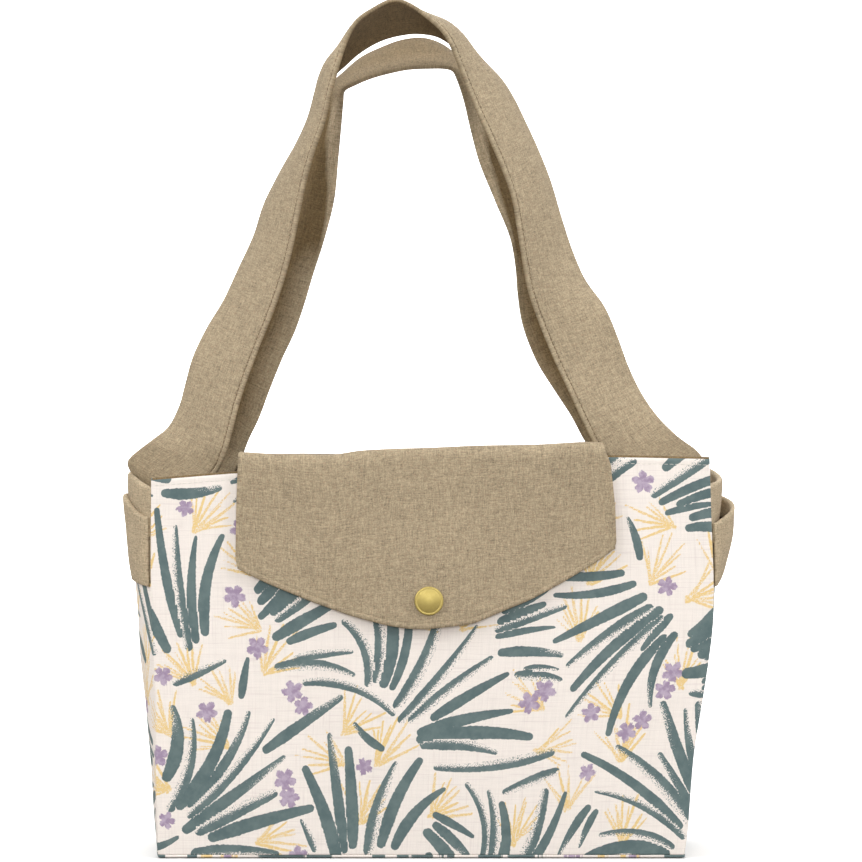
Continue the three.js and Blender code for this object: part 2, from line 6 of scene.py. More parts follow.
import bmesh
import bpy
import numpy as np
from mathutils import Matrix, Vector


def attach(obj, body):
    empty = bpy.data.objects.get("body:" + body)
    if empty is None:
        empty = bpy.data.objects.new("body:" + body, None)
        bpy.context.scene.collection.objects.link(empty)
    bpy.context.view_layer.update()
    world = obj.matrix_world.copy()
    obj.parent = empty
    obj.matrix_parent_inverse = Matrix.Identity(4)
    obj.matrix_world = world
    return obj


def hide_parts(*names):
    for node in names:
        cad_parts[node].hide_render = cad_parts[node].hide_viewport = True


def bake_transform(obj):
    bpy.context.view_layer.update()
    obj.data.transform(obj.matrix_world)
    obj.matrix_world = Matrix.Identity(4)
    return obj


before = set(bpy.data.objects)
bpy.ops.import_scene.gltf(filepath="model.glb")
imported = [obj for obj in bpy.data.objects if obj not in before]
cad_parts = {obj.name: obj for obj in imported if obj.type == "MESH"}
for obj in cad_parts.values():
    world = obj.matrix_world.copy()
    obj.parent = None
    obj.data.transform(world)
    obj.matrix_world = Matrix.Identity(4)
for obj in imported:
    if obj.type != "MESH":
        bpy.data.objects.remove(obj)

scene = bpy.context.scene
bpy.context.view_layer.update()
COARSEN = 1.0
pi = math.pi

# ------------------------------------------------------------------ driving sizes, mm
HALF_DEPTH = 39.0
FRONT_W, SIDE_W = 303.0, 2 * HALF_DEPTH   # widths of the unrolled walls
BAG_H = 219.0                   # height over which the walls belly out
CLOTH = 1.2
SIDE_CLOTH_W, POCKET_W = 75.8, 76.4
WALL_BOTTOM = 2.2
HEM_DROP = 4.4                  # hem stitching below the finished top
STITCH_IN = 1.95                # strap stitching in from the edge
STRAP_W = 40.0
FLAP_LEFT, FLAP_W = -104.0, 200.0
SNAP_X, SNAP_Z = -1.1, 141.1
# cloth distances from an edge at which grids are kept dense
EDGE_STEPS = (0.4, 0.8, 1.2, 1.6, 2.0, 2.4, 2.8, 3.4, 4.2)


def soft(stations, sigma, step=0.5):
    """function through (position, value) stations, rounded by a Gaussian of width sigma"""
    table = np.array(stations, float)
    places = np.arange(table[0, 0], table[-1, 0] + step, step)
    values = np.interp(places, table[:, 0], table[:, 1])
    reach = int(3 * sigma / step)
    weights = np.exp(-0.5 * (np.arange(-reach, reach + 1) * step / sigma) ** 2)
    weights /= weights.sum()
    lead = values[0] + (values[1] - values[0]) * np.arange(-reach, 0)
    tail = values[-1] + (values[-1] - values[-2]) * np.arange(1, reach + 1)
    rounded = np.convolve(np.concatenate([lead, values, tail]), weights, "valid")
    return lambda x: np.interp(x, places, rounded)


# height z, then x of the left and right corners
left_x = soft([(0, -148.5), (40, -149.5), (85, -149.5), (100, -150.1), (121, -151.1),
               (150, -152.2), (215, -151.7)], 8)
right_x = soft([(0, 137.5), (6, 139), (38, 141.2), (60, 143.2), (82, 147), (108, 150.6),
                (126, 153), (150, 153.6), (183, 152.2), (219, 151.1)], 6)
# x, then height of the front wall's top
front_top = soft([(-152, 207.2), (-105, 211), (-20, 216), (96, 219.7), (152, 218.6)], 12)
# height z, then depth of the hollow in the left side and of the bulge in the right side, in x
left_hollow = soft([(0, 2.2), (28, 4.2), (50, 4.8), (72, 7.3), (94, 9), (116, 10.2),
                    (138, 10.5), (149, 10.6), (170, 12), (198, 15)], 6)
right_bulge = soft([(0, 1.2), (130, 2), (150, 3), (170, 5), (200, 8.5), (214, 9.5)], 5)
# height z, then how far each pocket stands out
left_pocket_out = soft([(149, 10.8), (160, 12.4), (170, 13.6), (185, 15), (200, 16.4)], 3)
right_pocket_out = soft([(149, 3.6), (151, 5.2), (162, 8.6), (175, 11.8), (190, 14.4),
                         (200, 16)], 3)


def back_top(x):
    return 210.5 + 4.5 * (x + 152) / 304


def across(y):
    """1 at mid depth, 0 at the front and back"""
    return np.cos(pi * np.clip(y, -HALF_DEPTH, HALF_DEPTH) / SIDE_W)


def side_x(side, y, z):
    if side < 0:
        return left_x(z) - left_hollow(z) * across(y)
    return right_x(z) + right_bulge(z) * across(y)


def belly(x, z):
    over = np.clip((x - left_x(z)) / (right_x(z) - left_x(z)), 0, 1)
    return 2.5 * np.sin(pi * over) * np.sin(pi * np.clip(z / BAG_H, 0, 1))


def wall_y(facing, x, z):
    return facing * (HALF_DEPTH + belly(x, z))


def lip_z(side, y):
    if side < 0:
        return 201.4 + 6.8 * across(y) ** 1.3 + np.where(y > 0, 0.02 * y, 0)
    return 203.6 + 0.033 * (y + HALF_DEPTH) + np.where(y > 0, 0.11 * y, 0)


def pocket_lip_z(side, y):
    if side < 0:
        return 186.0 + 0.05 * (y + HALF_DEPTH) + 8.4 * across(y) ** 1.9
    return 182.6 + 0.165 * (y + HALF_DEPTH) + 0.8 * across(y)


def waves(u, v, height, length, seed):
    """gentle slack in the cloth: a few crossed long waves, zero mean"""
    rand = np.random.RandomState(seed)
    total = 0.0
    for _ in range(5):
        heading, phase = rand.uniform(0, pi), rand.uniform(0, 2 * pi)
        rate = 2 * pi / (length * rand.uniform(0.7, 1.6))
        total = total + np.sin(rate * (u * math.cos(heading) + v * math.sin(heading)) + phase)
    return height * total / 2.2


# ------------------------------------------------------------------ mesh helpers
def unit(a):
    return a / np.maximum(np.linalg.norm(a, axis=-1, keepdims=True), 1e-9)


def lerp(a, b, t):
    return a + (b - a) * t


def ramp(value, low, high):
    """smooth step from 0 at low to 1 at high"""
    t = np.clip((value - low) / (high - low), 0, 1)
    return t ** 2 * (3 - 2 * t)


def dip(distance, width):
    return np.exp(-(distance / width) ** 2)


def grid(x, y, z):
    return np.stack(np.broadcast_arrays(x, y, z), -1)


def path_length(points):
    steps = np.linalg.norm(np.diff(points, axis=0), axis=1)
    return np.concatenate([[0], np.cumsum(steps)])


def new_mesh(name, verts, quads, mats, wv, tris=(), mat_index=None, marks=None):
    """object from points in mm; wv holds cloth coordinates, marks the print's corner values"""
    mesh = bpy.data.meshes.new(name)
    quads = np.asarray(quads, np.int32).reshape(-1, 4)
    tris = np.asarray(tris, np.int32).reshape(-1, 3)
    n_quads, n_tris = len(quads), len(tris)
    mesh.vertices.add(len(verts))
    mesh.vertices.foreach_set("co", (np.asarray(verts) / 1000.0).astype(np.float32).ravel())
    mesh.loops.add(n_quads * 4 + n_tris * 3)
    mesh.loops.foreach_set("vertex_index", np.concatenate([quads.ravel(), tris.ravel()]))
    mesh.polygons.add(n_quads + n_tris)
    starts = np.concatenate([np.arange(n_quads) * 4, n_quads * 4 + np.arange(n_tris) * 3])
    mesh.polygons.foreach_set("loop_start", starts.astype(np.int32))
    for mat in mats:
        mesh.materials.append(mat)
    if mat_index is not None:
        mesh.polygons.foreach_set("material_index", np.asarray(mat_index, np.int32))
    mesh.polygons.foreach_set("use_smooth", np.ones(n_quads + n_tris, bool))
    mesh.update(calc_edges=True)
    layers = [("wv", "POINT", wv)]
    layers += [(key, "CORNER", values) for key, values in (marks or {}).items()]
    for key, domain, values in layers:
        layer = mesh.attributes.new(key, "FLOAT_VECTOR", domain)
        layer.data.foreach_set("vector", np.asarray(values, np.float32).ravel())
    ob = bpy.data.objects.new(name, mesh)
    scene.collection.objects.link(ob)
    return ob


def normals(points, closed=False):
    if closed:
        du = np.roll(points, -1, 0) - np.roll(points, 1, 0)
    else:
        du = np.gradient(points, axis=0)
    return unit(np.cross(du, np.gradient(points, axis=1)))


def outward_at(points, normal, rows, cols, closed):
    """directions leaving the grid at its rim, lying in the cloth"""
    last_row, last_col = points.shape[0] - 1, points.shape[1] - 1
    out = np.zeros((len(rows), 3))
    if not closed:
        for end, inner in ((0, 1), (last_row, last_row - 1)):
            on = rows == end
            out[on] += unit(points[end, cols[on]] - points[inner, cols[on]])
    for end, inner in ((0, 1), (last_col, last_col - 1)):
        on = cols == end
        out[on] += unit(points[rows[on], end] - points[rows[on], inner])
    return unit(out - (out * normal).sum(-1, keepdims=True) * normal)


RIM = np.radians([58, 22, -22, -58])   # points round the half circle at a cloth edge


def sheet(name, points, thickness, mats, u, v, flip=1, closed=False, disp=0.0, notch=1.0,
          motifs=None, shade=(0.0, 1.0)):
    """closed shell round a grid of points, with rounded edges; closed joins the first row to
    the last. mats[0] is the outer face, mats[1] (if given) the inner one; u, v are cloth
    coordinates, disp moves the cloth out and shade is the painted shade of each face, outer
    then inner: above nought it is painted shade, below nought painted light, and by default
    the inner face takes full painted shade. Gives the object, the moved grid and its normals."""
    points = np.asarray(points, float)
    nu, nv = points.shape[:2]
    fields = [np.broadcast_to(np.asarray(a, float), (nu, nv))
              for a in (u, v, disp, thickness, *shade)]
    if flip < 0:
        points = points[::-1]
        fields = [a[::-1] for a in fields]
    u, v, disp, thickness, outer_painted_shade, inner_painted_shade = fields
    points = points + normals(points, closed) * disp[..., None]
    normal = normals(points, closed)
    half = (thickness / 2)[..., None]
    index = np.arange(nu * nv).reshape(nu, nv)
    if closed:
        after = np.roll(index, -1, 0)
        top = np.stack([index[:, :-1], after[:, :-1], after[:, 1:], index[:, 1:]], -1)
        loops = [[(i, 0) for i in range(nu)], [(i, nv - 1) for i in range(nu - 1, -1, -1)]]
    else:
        top = np.stack([index[:-1, :-1], index[1:, :-1], index[1:, 1:], index[:-1, 1:]], -1)
        loops = [[(i, 0) for i in range(nu)] + [(nu - 1, j) for j in range(1, nv)]
                 + [(i, nv - 1) for i in range(nu - 2, -1, -1)]
                 + [(0, j) for j in range(nv - 2, 0, -1)]]
    n_top = top.shape[0] * top.shape[1]
    bottom = (top + nu * nv)[..., ::-1]
    verts = [(points + normal * half).reshape(-1, 3), (points - normal * half).reshape(-1, 3)]
    # the third wv value on each face is its painted shade
    wv = [np.stack([u, v, tone], -1).reshape(-1, 3) for tone in (outer_painted_shade, inner_painted_shade)]
    rims = []
    base = 2 * nu * nv
    for loop in loops:
        i, j = np.array(loop).T
        facing = normal[i, j]
        out = outward_at(points, facing, i, j, closed)
        rings = [index[i, j]]
        for k, angle in enumerate(RIM):
            reach = notch if k in (1, 2) else 1.0
            turned = math.cos(angle) * reach * out + math.sin(angle) * facing
            verts.append(points[i, j] + half[i, j] * turned)
            f = (k + 1) / (len(RIM) + 1.0)
            # the rim goes over from the outer face's painted shade to the inner face's
            tone = outer_painted_shade[i, j] * (1 - f) + inner_painted_shade[i, j] * f
            wv.append(np.stack([u[i, j], v[i, j], tone], -1))
            rings.append(base + np.arange(len(loop)))
            base += len(loop)
        rings.append(index[i, j] + nu * nv)
        for a, b in zip(rings[:-1], rings[1:]):
            rims.append(np.stack([a, b, np.roll(b, -1), np.roll(a, -1)], -1))
    quads = np.concatenate([top.reshape(-1, 4), bottom.reshape(-1, 4), np.concatenate(rims)])
    mat_index = np.zeros(len(quads), np.int32)
    if len(mats) > 1:
        mat_index[n_top:2 * n_top] = 1
    marks = {}
    if motifs is not None:
        # the rim takes the marks at the nearest corners of the top faces: face i, face j,
        # then the two corners on that edge
        edge = [(i, 0, 0, 1) for i in range(nu - 1)]
        edge += [(nu - 2, j, 1, 2) for j in range(nv - 1)]
        edge += [(i - 1, nv - 2, 2, 3) for i in range(nu - 1, 0, -1)]
        edge += [(0, j - 1, 3, 0) for j in range(nv - 1, 0, -1)]
        i, j, first, second = np.array(edge).T
        for key, values in motifs(u, v).items():
            corners = np.tile([9.0, 0.0, 0.0], (len(quads), 4, 1))
            corners[:n_top] = values.reshape(n_top, 4, 3)
            a, b = values[i, j, first], values[i, j, second]
            corners[2 * n_top:] = np.tile(np.stack([a, a, b, b], 1), (len(RIM) + 1, 1, 1))
            marks[key] = corners
    ob = new_mesh(name, np.concatenate(verts), quads, mats, np.concatenate(wv),
                  mat_index=mat_index, marks=marks)
    ob["grid"] = 1
    return ob, points, normal


def stitches(name, line, normal, mat, pitch=3.0, length=2.2, radius=0.22, lift=0.05):
    """a run of thread stitches lying on a seam line; each dips into the cloth at both ends"""
    run = path_length(line)
    count = max(2, int(run[-1] / pitch))
    centre_at = (np.arange(count) + 0.5) * run[-1] / count

    def sample(places, rows):
        return np.stack([np.interp(places, run, rows[:, k]) for k in range(3)], -1)

    centre = sample(centre_at, line)
    ahead = unit(sample(centre_at + length / 2, line) - sample(centre_at - length / 2, line))
    up = sample(centre_at, normal)
    up = unit(up - (up * ahead).sum(-1, keepdims=True) * ahead)
    aside = np.cross(ahead, up)
    # rings along one stitch: place, radius and height
    xs = np.array([-1.0, -0.86, -0.5, 0.0, 0.5, 0.86, 1.0]) * length / 2
    radii = np.array([0.25, 0.8, 1, 1.05, 1, 0.8, 0.25]) * radius
    heights = np.array([-1.1, -0.5, 0.25, 0.5, 0.25, -0.5, -1.1]) * radius + lift
    sides = 6
    angle = np.arange(sides) * 2 * pi / sides
    ring = np.stack([np.repeat(xs, sides), (radii[:, None] * np.cos(angle)).ravel(),
                     (heights[:, None] + radii[:, None] * np.sin(angle)).ravel()], -1)
    tips = np.array([[xs[0] - 0.02, 0, heights[0]], [xs[-1] + 0.02, 0, heights[-1]]])
    shape = np.concatenate([ring, tips])
    rings = len(xs)
    quads, tris = [], []
    for a in range(rings - 1):
        for b in range(sides):
            c = (b + 1) % sides
            quads.append([a * sides + b, (a + 1) * sides + b, (a + 1) * sides + c, a * sides + c])
    for b in range(sides):
        c = (b + 1) % sides
        tris.append([rings * sides, b, c])
        tris.append([rings * sides + 1, (rings - 1) * sides + c, (rings - 1) * sides + b])
    verts = (centre[:, None] + shape[None, :, 0:1] * ahead[:, None]
             + shape[None, :, 1:2] * aside[:, None] + shape[None, :, 2:3] * up[:, None])
    offset = np.arange(count) * len(shape)
    wv = np.broadcast_to(shape, (count, len(shape), 3)).reshape(-1, 3)
    return new_mesh(name, verts.reshape(-1, 3), np.array(quads)[None] + offset[:, None, None],
                    [mat], wv + np.repeat(offset, len(shape))[:, None] * 0.013,
                    tris=np.array(tris)[None] + offset[:, None, None])


def lathe(name, profile, mat, segments=64):
    """turned part on an axis along y at the snap; rows are radius, distance out from the wall"""
    face_y = float(wall_y(-1, SNAP_X, SNAP_Z))
    angle = np.arange(segments) * 2 * pi / segments
    rows, verts, count = [], [], 0
    for radius, out in profile:
        y = face_y - out
        if radius == 0:
            verts.append(np.array([[SNAP_X, y, SNAP_Z]]))
        else:
            verts.append(grid(SNAP_X + radius * np.cos(angle), y,
                              SNAP_Z + radius * np.sin(angle)))
        rows.append(count + np.arange(len(verts[-1])))
        count += len(verts[-1])
    quads, tris = [], []
    for a, b in zip(rows[:-1], rows[1:]):
        if len(a) > 1 and len(b) > 1:
            quads.append(np.stack([a, b, np.roll(b, -1), np.roll(a, -1)], -1))
        elif len(a) == 1:
            tris.append(np.stack([np.full(segments, a[0]), b, np.roll(b, -1)], -1))
        else:
            tris.append(np.stack([a, np.full(segments, b[0]), np.roll(a, -1)], -1))
    verts = np.concatenate(verts)
    ob = new_mesh(name, verts, np.concatenate(quads), [mat], verts - [SNAP_X, face_y, SNAP_Z],
                  tris=np.concatenate(tris) if tris else ())
    # face outward whichever way the profile runs, and keep the corners crisp
    bm = bmesh.new()
    bm.from_mesh(ob.data)
    if bm.calc_volume(signed=True) < 0:
        bmesh.ops.reverse_faces(bm, faces=bm.faces)
    for edge in bm.edges:
        if len(edge.link_faces) == 2 and edge.calc_face_angle() > math.radians(50):
            edge.smooth = False
    bm.to_mesh(ob.data)
    bm.free()
    return ob


# ------------------------------------------------------------------ shader helpers
def feed(tree, socket, value):
    """link a socket, or set a value; a colour of three parts gets alpha 1"""
    value = getattr(value, "socket", value)
    if isinstance(value, bpy.types.NodeSocket):
        tree.links.new(value, socket)
    elif isinstance(value, tuple) and len(value) == 3 and len(socket.default_value) == 4:
        socket.default_value = (*value, 1)
    else:
        socket.default_value = value


def add_node(tree, kind, inputs, **settings):
    node = tree.nodes.new("ShaderNode" + kind)
    for key, value in settings.items():
        setattr(node, key, value)
    for key, value in inputs.items():
        feed(tree, node.inputs[key], value)
    return node


class Value:
    """an output socket that can be added, subtracted and multiplied"""

    def __init__(self, graph, socket):
        self.graph = graph
        self.socket = socket

    def __add__(self, other):
        return self.graph.math("ADD", self, other)

    def __sub__(self, other):
        return self.graph.math("SUBTRACT", self, other)

    def __mul__(self, other):
        return self.graph.math("MULTIPLY", self, other)


class Graph:
    """short hand for building a material"""

    def __init__(self, name):
        self.mat = bpy.data.materials.new(name)
        self.mat.use_nodes = True
        self.tree = self.mat.node_tree
        self.tree.nodes.clear()
        output = add_node(self.tree, "OutputMaterial", {})
        self.bsdf = add_node(self.tree, "BsdfPrincipled", {})
        self.tree.links.new(self.bsdf.outputs[0], output.inputs[0])

    def make(self, kind, inputs, output=0, **settings):
        return Value(self, add_node(self.tree, kind, inputs, **settings).outputs[output])

    def attribute(self, name):
        return self.make("Attribute", {}, "Vector", attribute_name=name)

    def split(self, vector):
        node = add_node(self.tree, "SeparateXYZ", {0: vector})
        return [Value(self, socket) for socket in node.outputs]

    def vector(self, x, y, z):
        return self.make("CombineXYZ", {0: x, 1: y, 2: z})

    def noise(self, vector, scale=1.0, detail=2.0, rough=0.5):
        return self.make("TexNoise", {"Vector": vector, "Scale": scale, "Detail": detail,
                                      "Roughness": rough})

    def math(self, operation, a, b=0.0, clamp=False):
        return self.make("Math", {0: a, 1: b}, operation=operation, use_clamp=clamp)

    def step(self, value, low, high, start=0.0, end=1.0):
        """smooth change from start to end as value goes from low to high"""
        return self.make("MapRange", {"Value": value, "From Min": low, "From Max": high,
                                      "To Min": start, "To Max": end},
                         interpolation_type="SMOOTHSTEP")

    def mix(self, factor, a, b, blend="MIX"):
        return self.make("Mix", {"Factor": factor, 6: a, 7: b}, 2, data_type="RGBA",
                         blend_type=blend, clamp_factor=True)

    def bump(self, height, strength, distance):
        return self.make("Bump", {"Strength": strength, "Distance": distance,
                                  "Height": height})

    def finish(self, color, rough, normal, metal=0.0, sheen=0.0, spec=0.3):
        inputs = {"Base Color": color, "Roughness": rough, "Metallic": metal,
                  "Specular IOR Level": spec}
        if sheen:
            inputs.update({"Sheen Weight": sheen, "Sheen Roughness": 0.5})
        inputs["Normal"] = normal
        for key, value in inputs.items():
            feed(self.tree, self.bsdf.inputs[key], value)
        return self.mat


def srgb(*rgb):
    """linear colour from 0..255 display values"""
    def linear(c):
        return (c / 12.92) if c <= 0.04045 else ((c + 0.055) / 1.055) ** 2.4
    return tuple(linear(c / 255.0) for c in rgb)


def tinted(rgb, *factors):
    """linear colour of rgb times one factor, or one factor per channel"""
    return srgb(*(min(255, c * f) for c, f in zip(rgb, factors * 3)))


# ------------------------------------------------------------------ materials
# display colours, 0..255
FLAX = (165, 150, 125)
PRINT_GROUND = (249, 241, 234)
WRONG_SIDE = (236, 229, 221)
LINING_TONE = (226, 216, 201)
SLUB = (222, 210, 206)
STRAW = (238, 207, 140)
LILAC_DEEP, LILAC_PALE = (165, 146, 172), (192, 176, 196)
TEAL_DEEP, TEAL_PALE, TEAL_DRY = (94, 113, 115), (110, 128, 128), (140, 152, 152)
FLAX_THREAD, ECRU_THREAD = (112, 92, 64), (240, 230, 219)
BRASS_DEEP, BRASS_PALE, BRASS_SPECK = (198, 178, 104), (214, 196, 126), (170, 148, 82)


def weave(g, pitch, slub, seed):
    """plain weave in cloth mm: u, v, warp lines, weft lines, fleck, height.
    slub is the noise rate along a thread, seed the slice of noise used"""
    u, v, _ = g.split(g.attribute("wv"))
    rate = 1.0 / pitch
    warp = g.noise(g.vector(u * rate, v * slub, seed + 1.5), detail=2.5, rough=0.6)
    weft = g.noise(g.vector(u * slub, v * rate, seed + 7.5), detail=2.5, rough=0.6)
    fleck = g.noise(g.vector(u, v, seed + 3.1), scale=1.15 / pitch, rough=0.6)
    knot_rate = 2 * pi / (1.55 * pitch)
    warp_wave = g.math("SINE", u * knot_rate)
    weft_wave = g.math("SINE", v * knot_rate)
    knots = warp_wave * weft_wave
    height = (knots * 0.22 + fleck * 0.6) + (warp * 0.8 + weft * 0.8)
    return u, v, warp, weft, fleck, height


def linen_material(name):
    g = Graph(name)
    u, v, warp, weft, fleck, height = weave(g, pitch=0.50, slub=0.24, seed=0.0)
    # the third wv value is the painted shade of the face; below nought it is painted light
    painted_shade = g.split(g.attribute("wv"))[2]
    broad = g.noise(g.vector(u, v, 9.0), scale=0.03)
    grit = g.noise(g.vector(u, v, 17.0), scale=1.05, detail=1.0)
    contrast = 1.14   # strength of thread and grain tones; the weights share it out
    tone = (warp - 0.5) * (0.95 * contrast) + (weft - 0.5) * (0.95 * contrast)
    tone = tone + (fleck - 0.5) * (0.9 * contrast) + (grit - 0.5) * (0.7 * contrast)
    tone = tone + (broad - 0.5) * 0.16
    tone = g.math("ADD", tone, 0.5, clamp=True)
    color = g.mix(tone, tinted(FLAX, 0.74), tinted(FLAX, 1.22))
    # streaks of warmer and paler fibre
    warm = g.noise(g.vector(u * 0.55, v * 1.5, 21.0), detail=1.0)
    color = g.mix(g.step(warm, low=0.54, high=0.72, end=0.34), color,
                  tinted(FLAX, 1.02, 0.88, 0.86))
    pale = g.noise(g.vector(u * 1.5, v * 0.45, 31.0), detail=1.0)
    color = g.mix(g.step(pale, low=0.58, high=0.75, end=0.32), color,
                  tinted(FLAX, 1.17, 1.2, 1.18))
    # painted shade and painted light: above nought the third wv value darkens the colour towards a
    # shadow tone, below nought it lifts the colour as painted light
    shaded_color = g.mix(1.0, color, (0.41, 0.34, 0.225), "MULTIPLY")
    color = g.mix(g.math("MINIMUM", painted_shade * 0.78, 0.92, clamp=True), color, shaded_color)
    lit_color = g.mix(1.0, color, (1.6, 1.6, 1.6), "MULTIPLY")
    color = g.mix(g.math("MULTIPLY", painted_shade, -1.0, clamp=True), color, lit_color)
    normal = g.bump(height, strength=0.40, distance=0.0002)
    return g.finish(color, rough=0.93, normal=normal, sheen=0.06, spec=0.15)


def plain_ground(g, base):
    """pale slubbed cloth: u, v, height and colour"""
    u, v, warp, weft, fleck, height = weave(g, pitch=0.75, slub=0.05, seed=40.0)
    tone = (warp - 0.5) * 0.9 + (weft - 0.5) * 0.9
    tone = g.math("ADD", tone + (fleck - 0.5) * 0.5, 0.55, clamp=True)
    color = g.mix(tone, tinted(base, 0.945), tinted(base, 1.02))
    # thick threads each way: rates in u and v, noise slice, step limits and strength
    for u_rate, v_rate, seed, low, high, strength in ((0.045, 1.1, 55.0, 0.64, 0.76, 0.30),
                                                      (1.1, 0.045, 65.0, 0.66, 0.78, 0.24)):
        slub = g.noise(g.vector(u * u_rate, v * v_rate, seed), detail=0.0)
        color = g.mix(g.step(slub, low, high, end=strength), color, srgb(*SLUB))
    return u, v, height, color


def print_material(name):
    g = Graph(name)
    u, v, height, color = plain_ground(g, PRINT_GROUND)
    edge = g.noise(g.vector(u, v, 2.0), scale=0.55, detail=3.0, rough=0.65)
    grain = g.noise(g.vector(u * 1.0, v * 1.25, 4.0), scale=1.45, rough=0.6)

    # thin pencil-like lines in straw yellow
    off, _, dry = g.split(g.attribute("mk_line"))
    off = g.math("ABSOLUTE", off) + (edge - 0.5) * 1.3
    cover = (g.step(off, low=0.75, high=1.15, start=1.0, end=0.0)
             * g.step(grain - dry * 0.30, low=0.24, high=0.40))
    color = g.mix(cover * 0.95, color, srgb(*STRAW))

    # five petalled blossoms
    x, y, size = g.split(g.attribute("mk_bloom"))
    radius = g.math("SQRT", x * x + y * y)
    angle = g.math("ARCTAN2", y, x)
    petal = g.math("POWER", g.math("ABSOLUTE", g.math("COSINE", angle * 2.5)), 0.6)
    limit = size * (petal * 0.55 + 0.45)
    off = radius - limit - (edge - 0.5) * 4.2
    cover = (g.step(off, low=-0.35, high=0.30, start=1.0, end=0.0)
             * g.step(grain, low=0.22, high=0.36, start=0.35))
    tone = g.noise(g.vector(u, v, 8.0), scale=0.30, rough=0.6)
    lilac = g.mix(g.step(tone, low=0.35, high=0.65), srgb(*LILAC_DEEP), srgb(*LILAC_PALE))
    color = g.mix(cover, color, lilac)

    # teal brush strokes, broken up by the grain where the brush ran dry
    off, _, dry = g.split(g.attribute("mk_leaf"))
    off = g.math("ABSOLUTE", off) + (edge - 0.5) * 0.42
    body = g.step(off, low=0.95, high=1.06, start=1.0, end=0.0)
    threshold = dry * 0.46 + 0.12
    cover = body * g.step(grain - threshold, low=-0.025, high=0.035)
    tone = g.noise(g.vector(u, v, 12.0), scale=0.12, detail=3.0, rough=0.6)
    teal = g.mix(g.step(tone, low=0.3, high=0.7), srgb(*TEAL_DEEP), srgb(*TEAL_PALE))
    teal = g.mix(dry * 0.22, teal, srgb(*TEAL_DRY))
    color = g.mix(cover, color, teal)
    normal = g.bump(height, strength=0.30, distance=0.00016)
    return g.finish(color, rough=0.92, normal=normal, sheen=0.08, spec=0.18)


def plain_material(name, base):
    g = Graph(name)
    _, _, height, color = plain_ground(g, base)
    normal = g.bump(height, strength=0.30, distance=0.00018)
    return g.finish(color, rough=0.93, normal=normal, spec=0.15)


def thread_material(name, rgb):
    g = Graph(name)
    wv = g.attribute("wv")
    x, y, _ = g.split(wv)
    twist = g.math("SINE", x * 14.0 + y * 9.0)
    mottle = g.noise(wv, scale=2.2)
    tone = g.math("ADD", twist * 0.18, mottle, clamp=True)
    color = g.mix(tone, tinted(rgb, 0.78), tinted(rgb, 1.12))
    normal = g.bump(twist, strength=0.3, distance=0.00006)
    return g.finish(color, rough=0.75, normal=normal, sheen=0.2)


def brass_material(name):
    g = Graph(name)
    wv = g.attribute("wv")
    broad = g.noise(wv, scale=0.55, detail=3.0, rough=0.6)
    fine = g.noise(wv, scale=5.0, detail=3.0, rough=0.6)
    color = g.mix(broad, srgb(*BRASS_DEEP), srgb(*BRASS_PALE))
    color = g.mix(g.step(fine, low=0.60, high=0.72, end=0.35), color, srgb(*BRASS_SPECK))
    rough = fine * 0.16 + 0.50
    normal = g.bump(fine, strength=0.12, distance=0.00005)
    return g.finish(color, rough=rough, normal=normal, metal=1.0, spec=0.5)


LINEN = linen_material("linen_cloth")
PRINT = print_material("printed_cloth")
PRINT_BACK = plain_material("print_wrong_side", WRONG_SIDE)
LINING = plain_material("lining_cloth", LINING_TONE)
THREAD_LINEN = thread_material("thread_flax", FLAX_THREAD)
THREAD_PRINT = thread_material("thread_ecru", ECRU_THREAD)
BRASS = brass_material("satin_brass")


# ------------------------------------------------------------------ printed pattern
# tufts of brush strokes, fans of lines and blossoms, laid out on the cloth in mm: across the
# walls it runs right round them from the front left corner
def heading(angle):
    return np.array([math.cos(angle), math.sin(angle)])


def bend(start, angle, length, curl, count=15):
    """points along a stroke whose direction turns steadily by curl"""
    turn = angle + curl * (np.linspace(0, 1, count) - 0.2)
    steps = np.stack([np.cos(turn), np.sin(turn)], -1) * (length / (count - 1))
    return np.concatenate([[start], start + np.cumsum(steps[1:], 0)])


def nearest(u, v, line):
    """signed distance to a polyline and the fraction along it"""
    places = np.stack([u, v], -1)[..., None, :]
    start = line[:-1]
    span = line[1:] - start
    t = np.clip(((places - start) * span).sum(-1) / (span * span).sum(-1), 0, 1)
    miss = places - (start + t[..., None] * span)
    dist = np.hypot(miss[..., 0], miss[..., 1])
    k = dist.argmin(-1)

    def pick(values):
        return np.take_along_axis(values, k[..., None], -1)[..., 0]

    sign = np.sign(pick(span[:, 0] * miss[..., 1] - span[:, 1] * miss[..., 0]))
    return pick(dist) * np.where(sign == 0, 1, sign), (k + pick(t)) / len(start)


# each of these gives the marks for the print shader and the distance outside the shape
def leaf_marks(item, line, u, v):
    off, t = nearest(u, v, line)
    taper = 1 - (1 - item["taper"]) * t ** 2.2
    half = item["half"] * taper * (0.72 + 0.28 * np.clip(t / 0.25, 0, 1))
    s = off / half
    sided = item["side"] * s
    if item["dry"] < 0.42:      # evenly wet
        dry = 0.06 + 0.10 * t
    elif item["dry"] < 0.72:    # dry towards the tip
        dry = 0.98 * np.clip((t - 0.35) / 0.5, 0, 1) * (0.62 + 0.38 * np.clip(sided, -1, 1))
    else:                       # dry along one side
        dry = np.clip(0.15 + 0.85 * np.clip((sided + 0.25) / 0.8, 0, 1) + 0.2 * t, 0, 1)
    return np.stack([np.abs(s), t, dry], -1), np.abs(off) - half


def line_marks(item, line, u, v):
    off, t = nearest(u, v, line)
    half = item["half"] * (1 - 0.45 * t)
    s = off / half
    return np.stack([np.abs(s), t, np.full_like(s, item["dry"])], -1), np.abs(off) - half


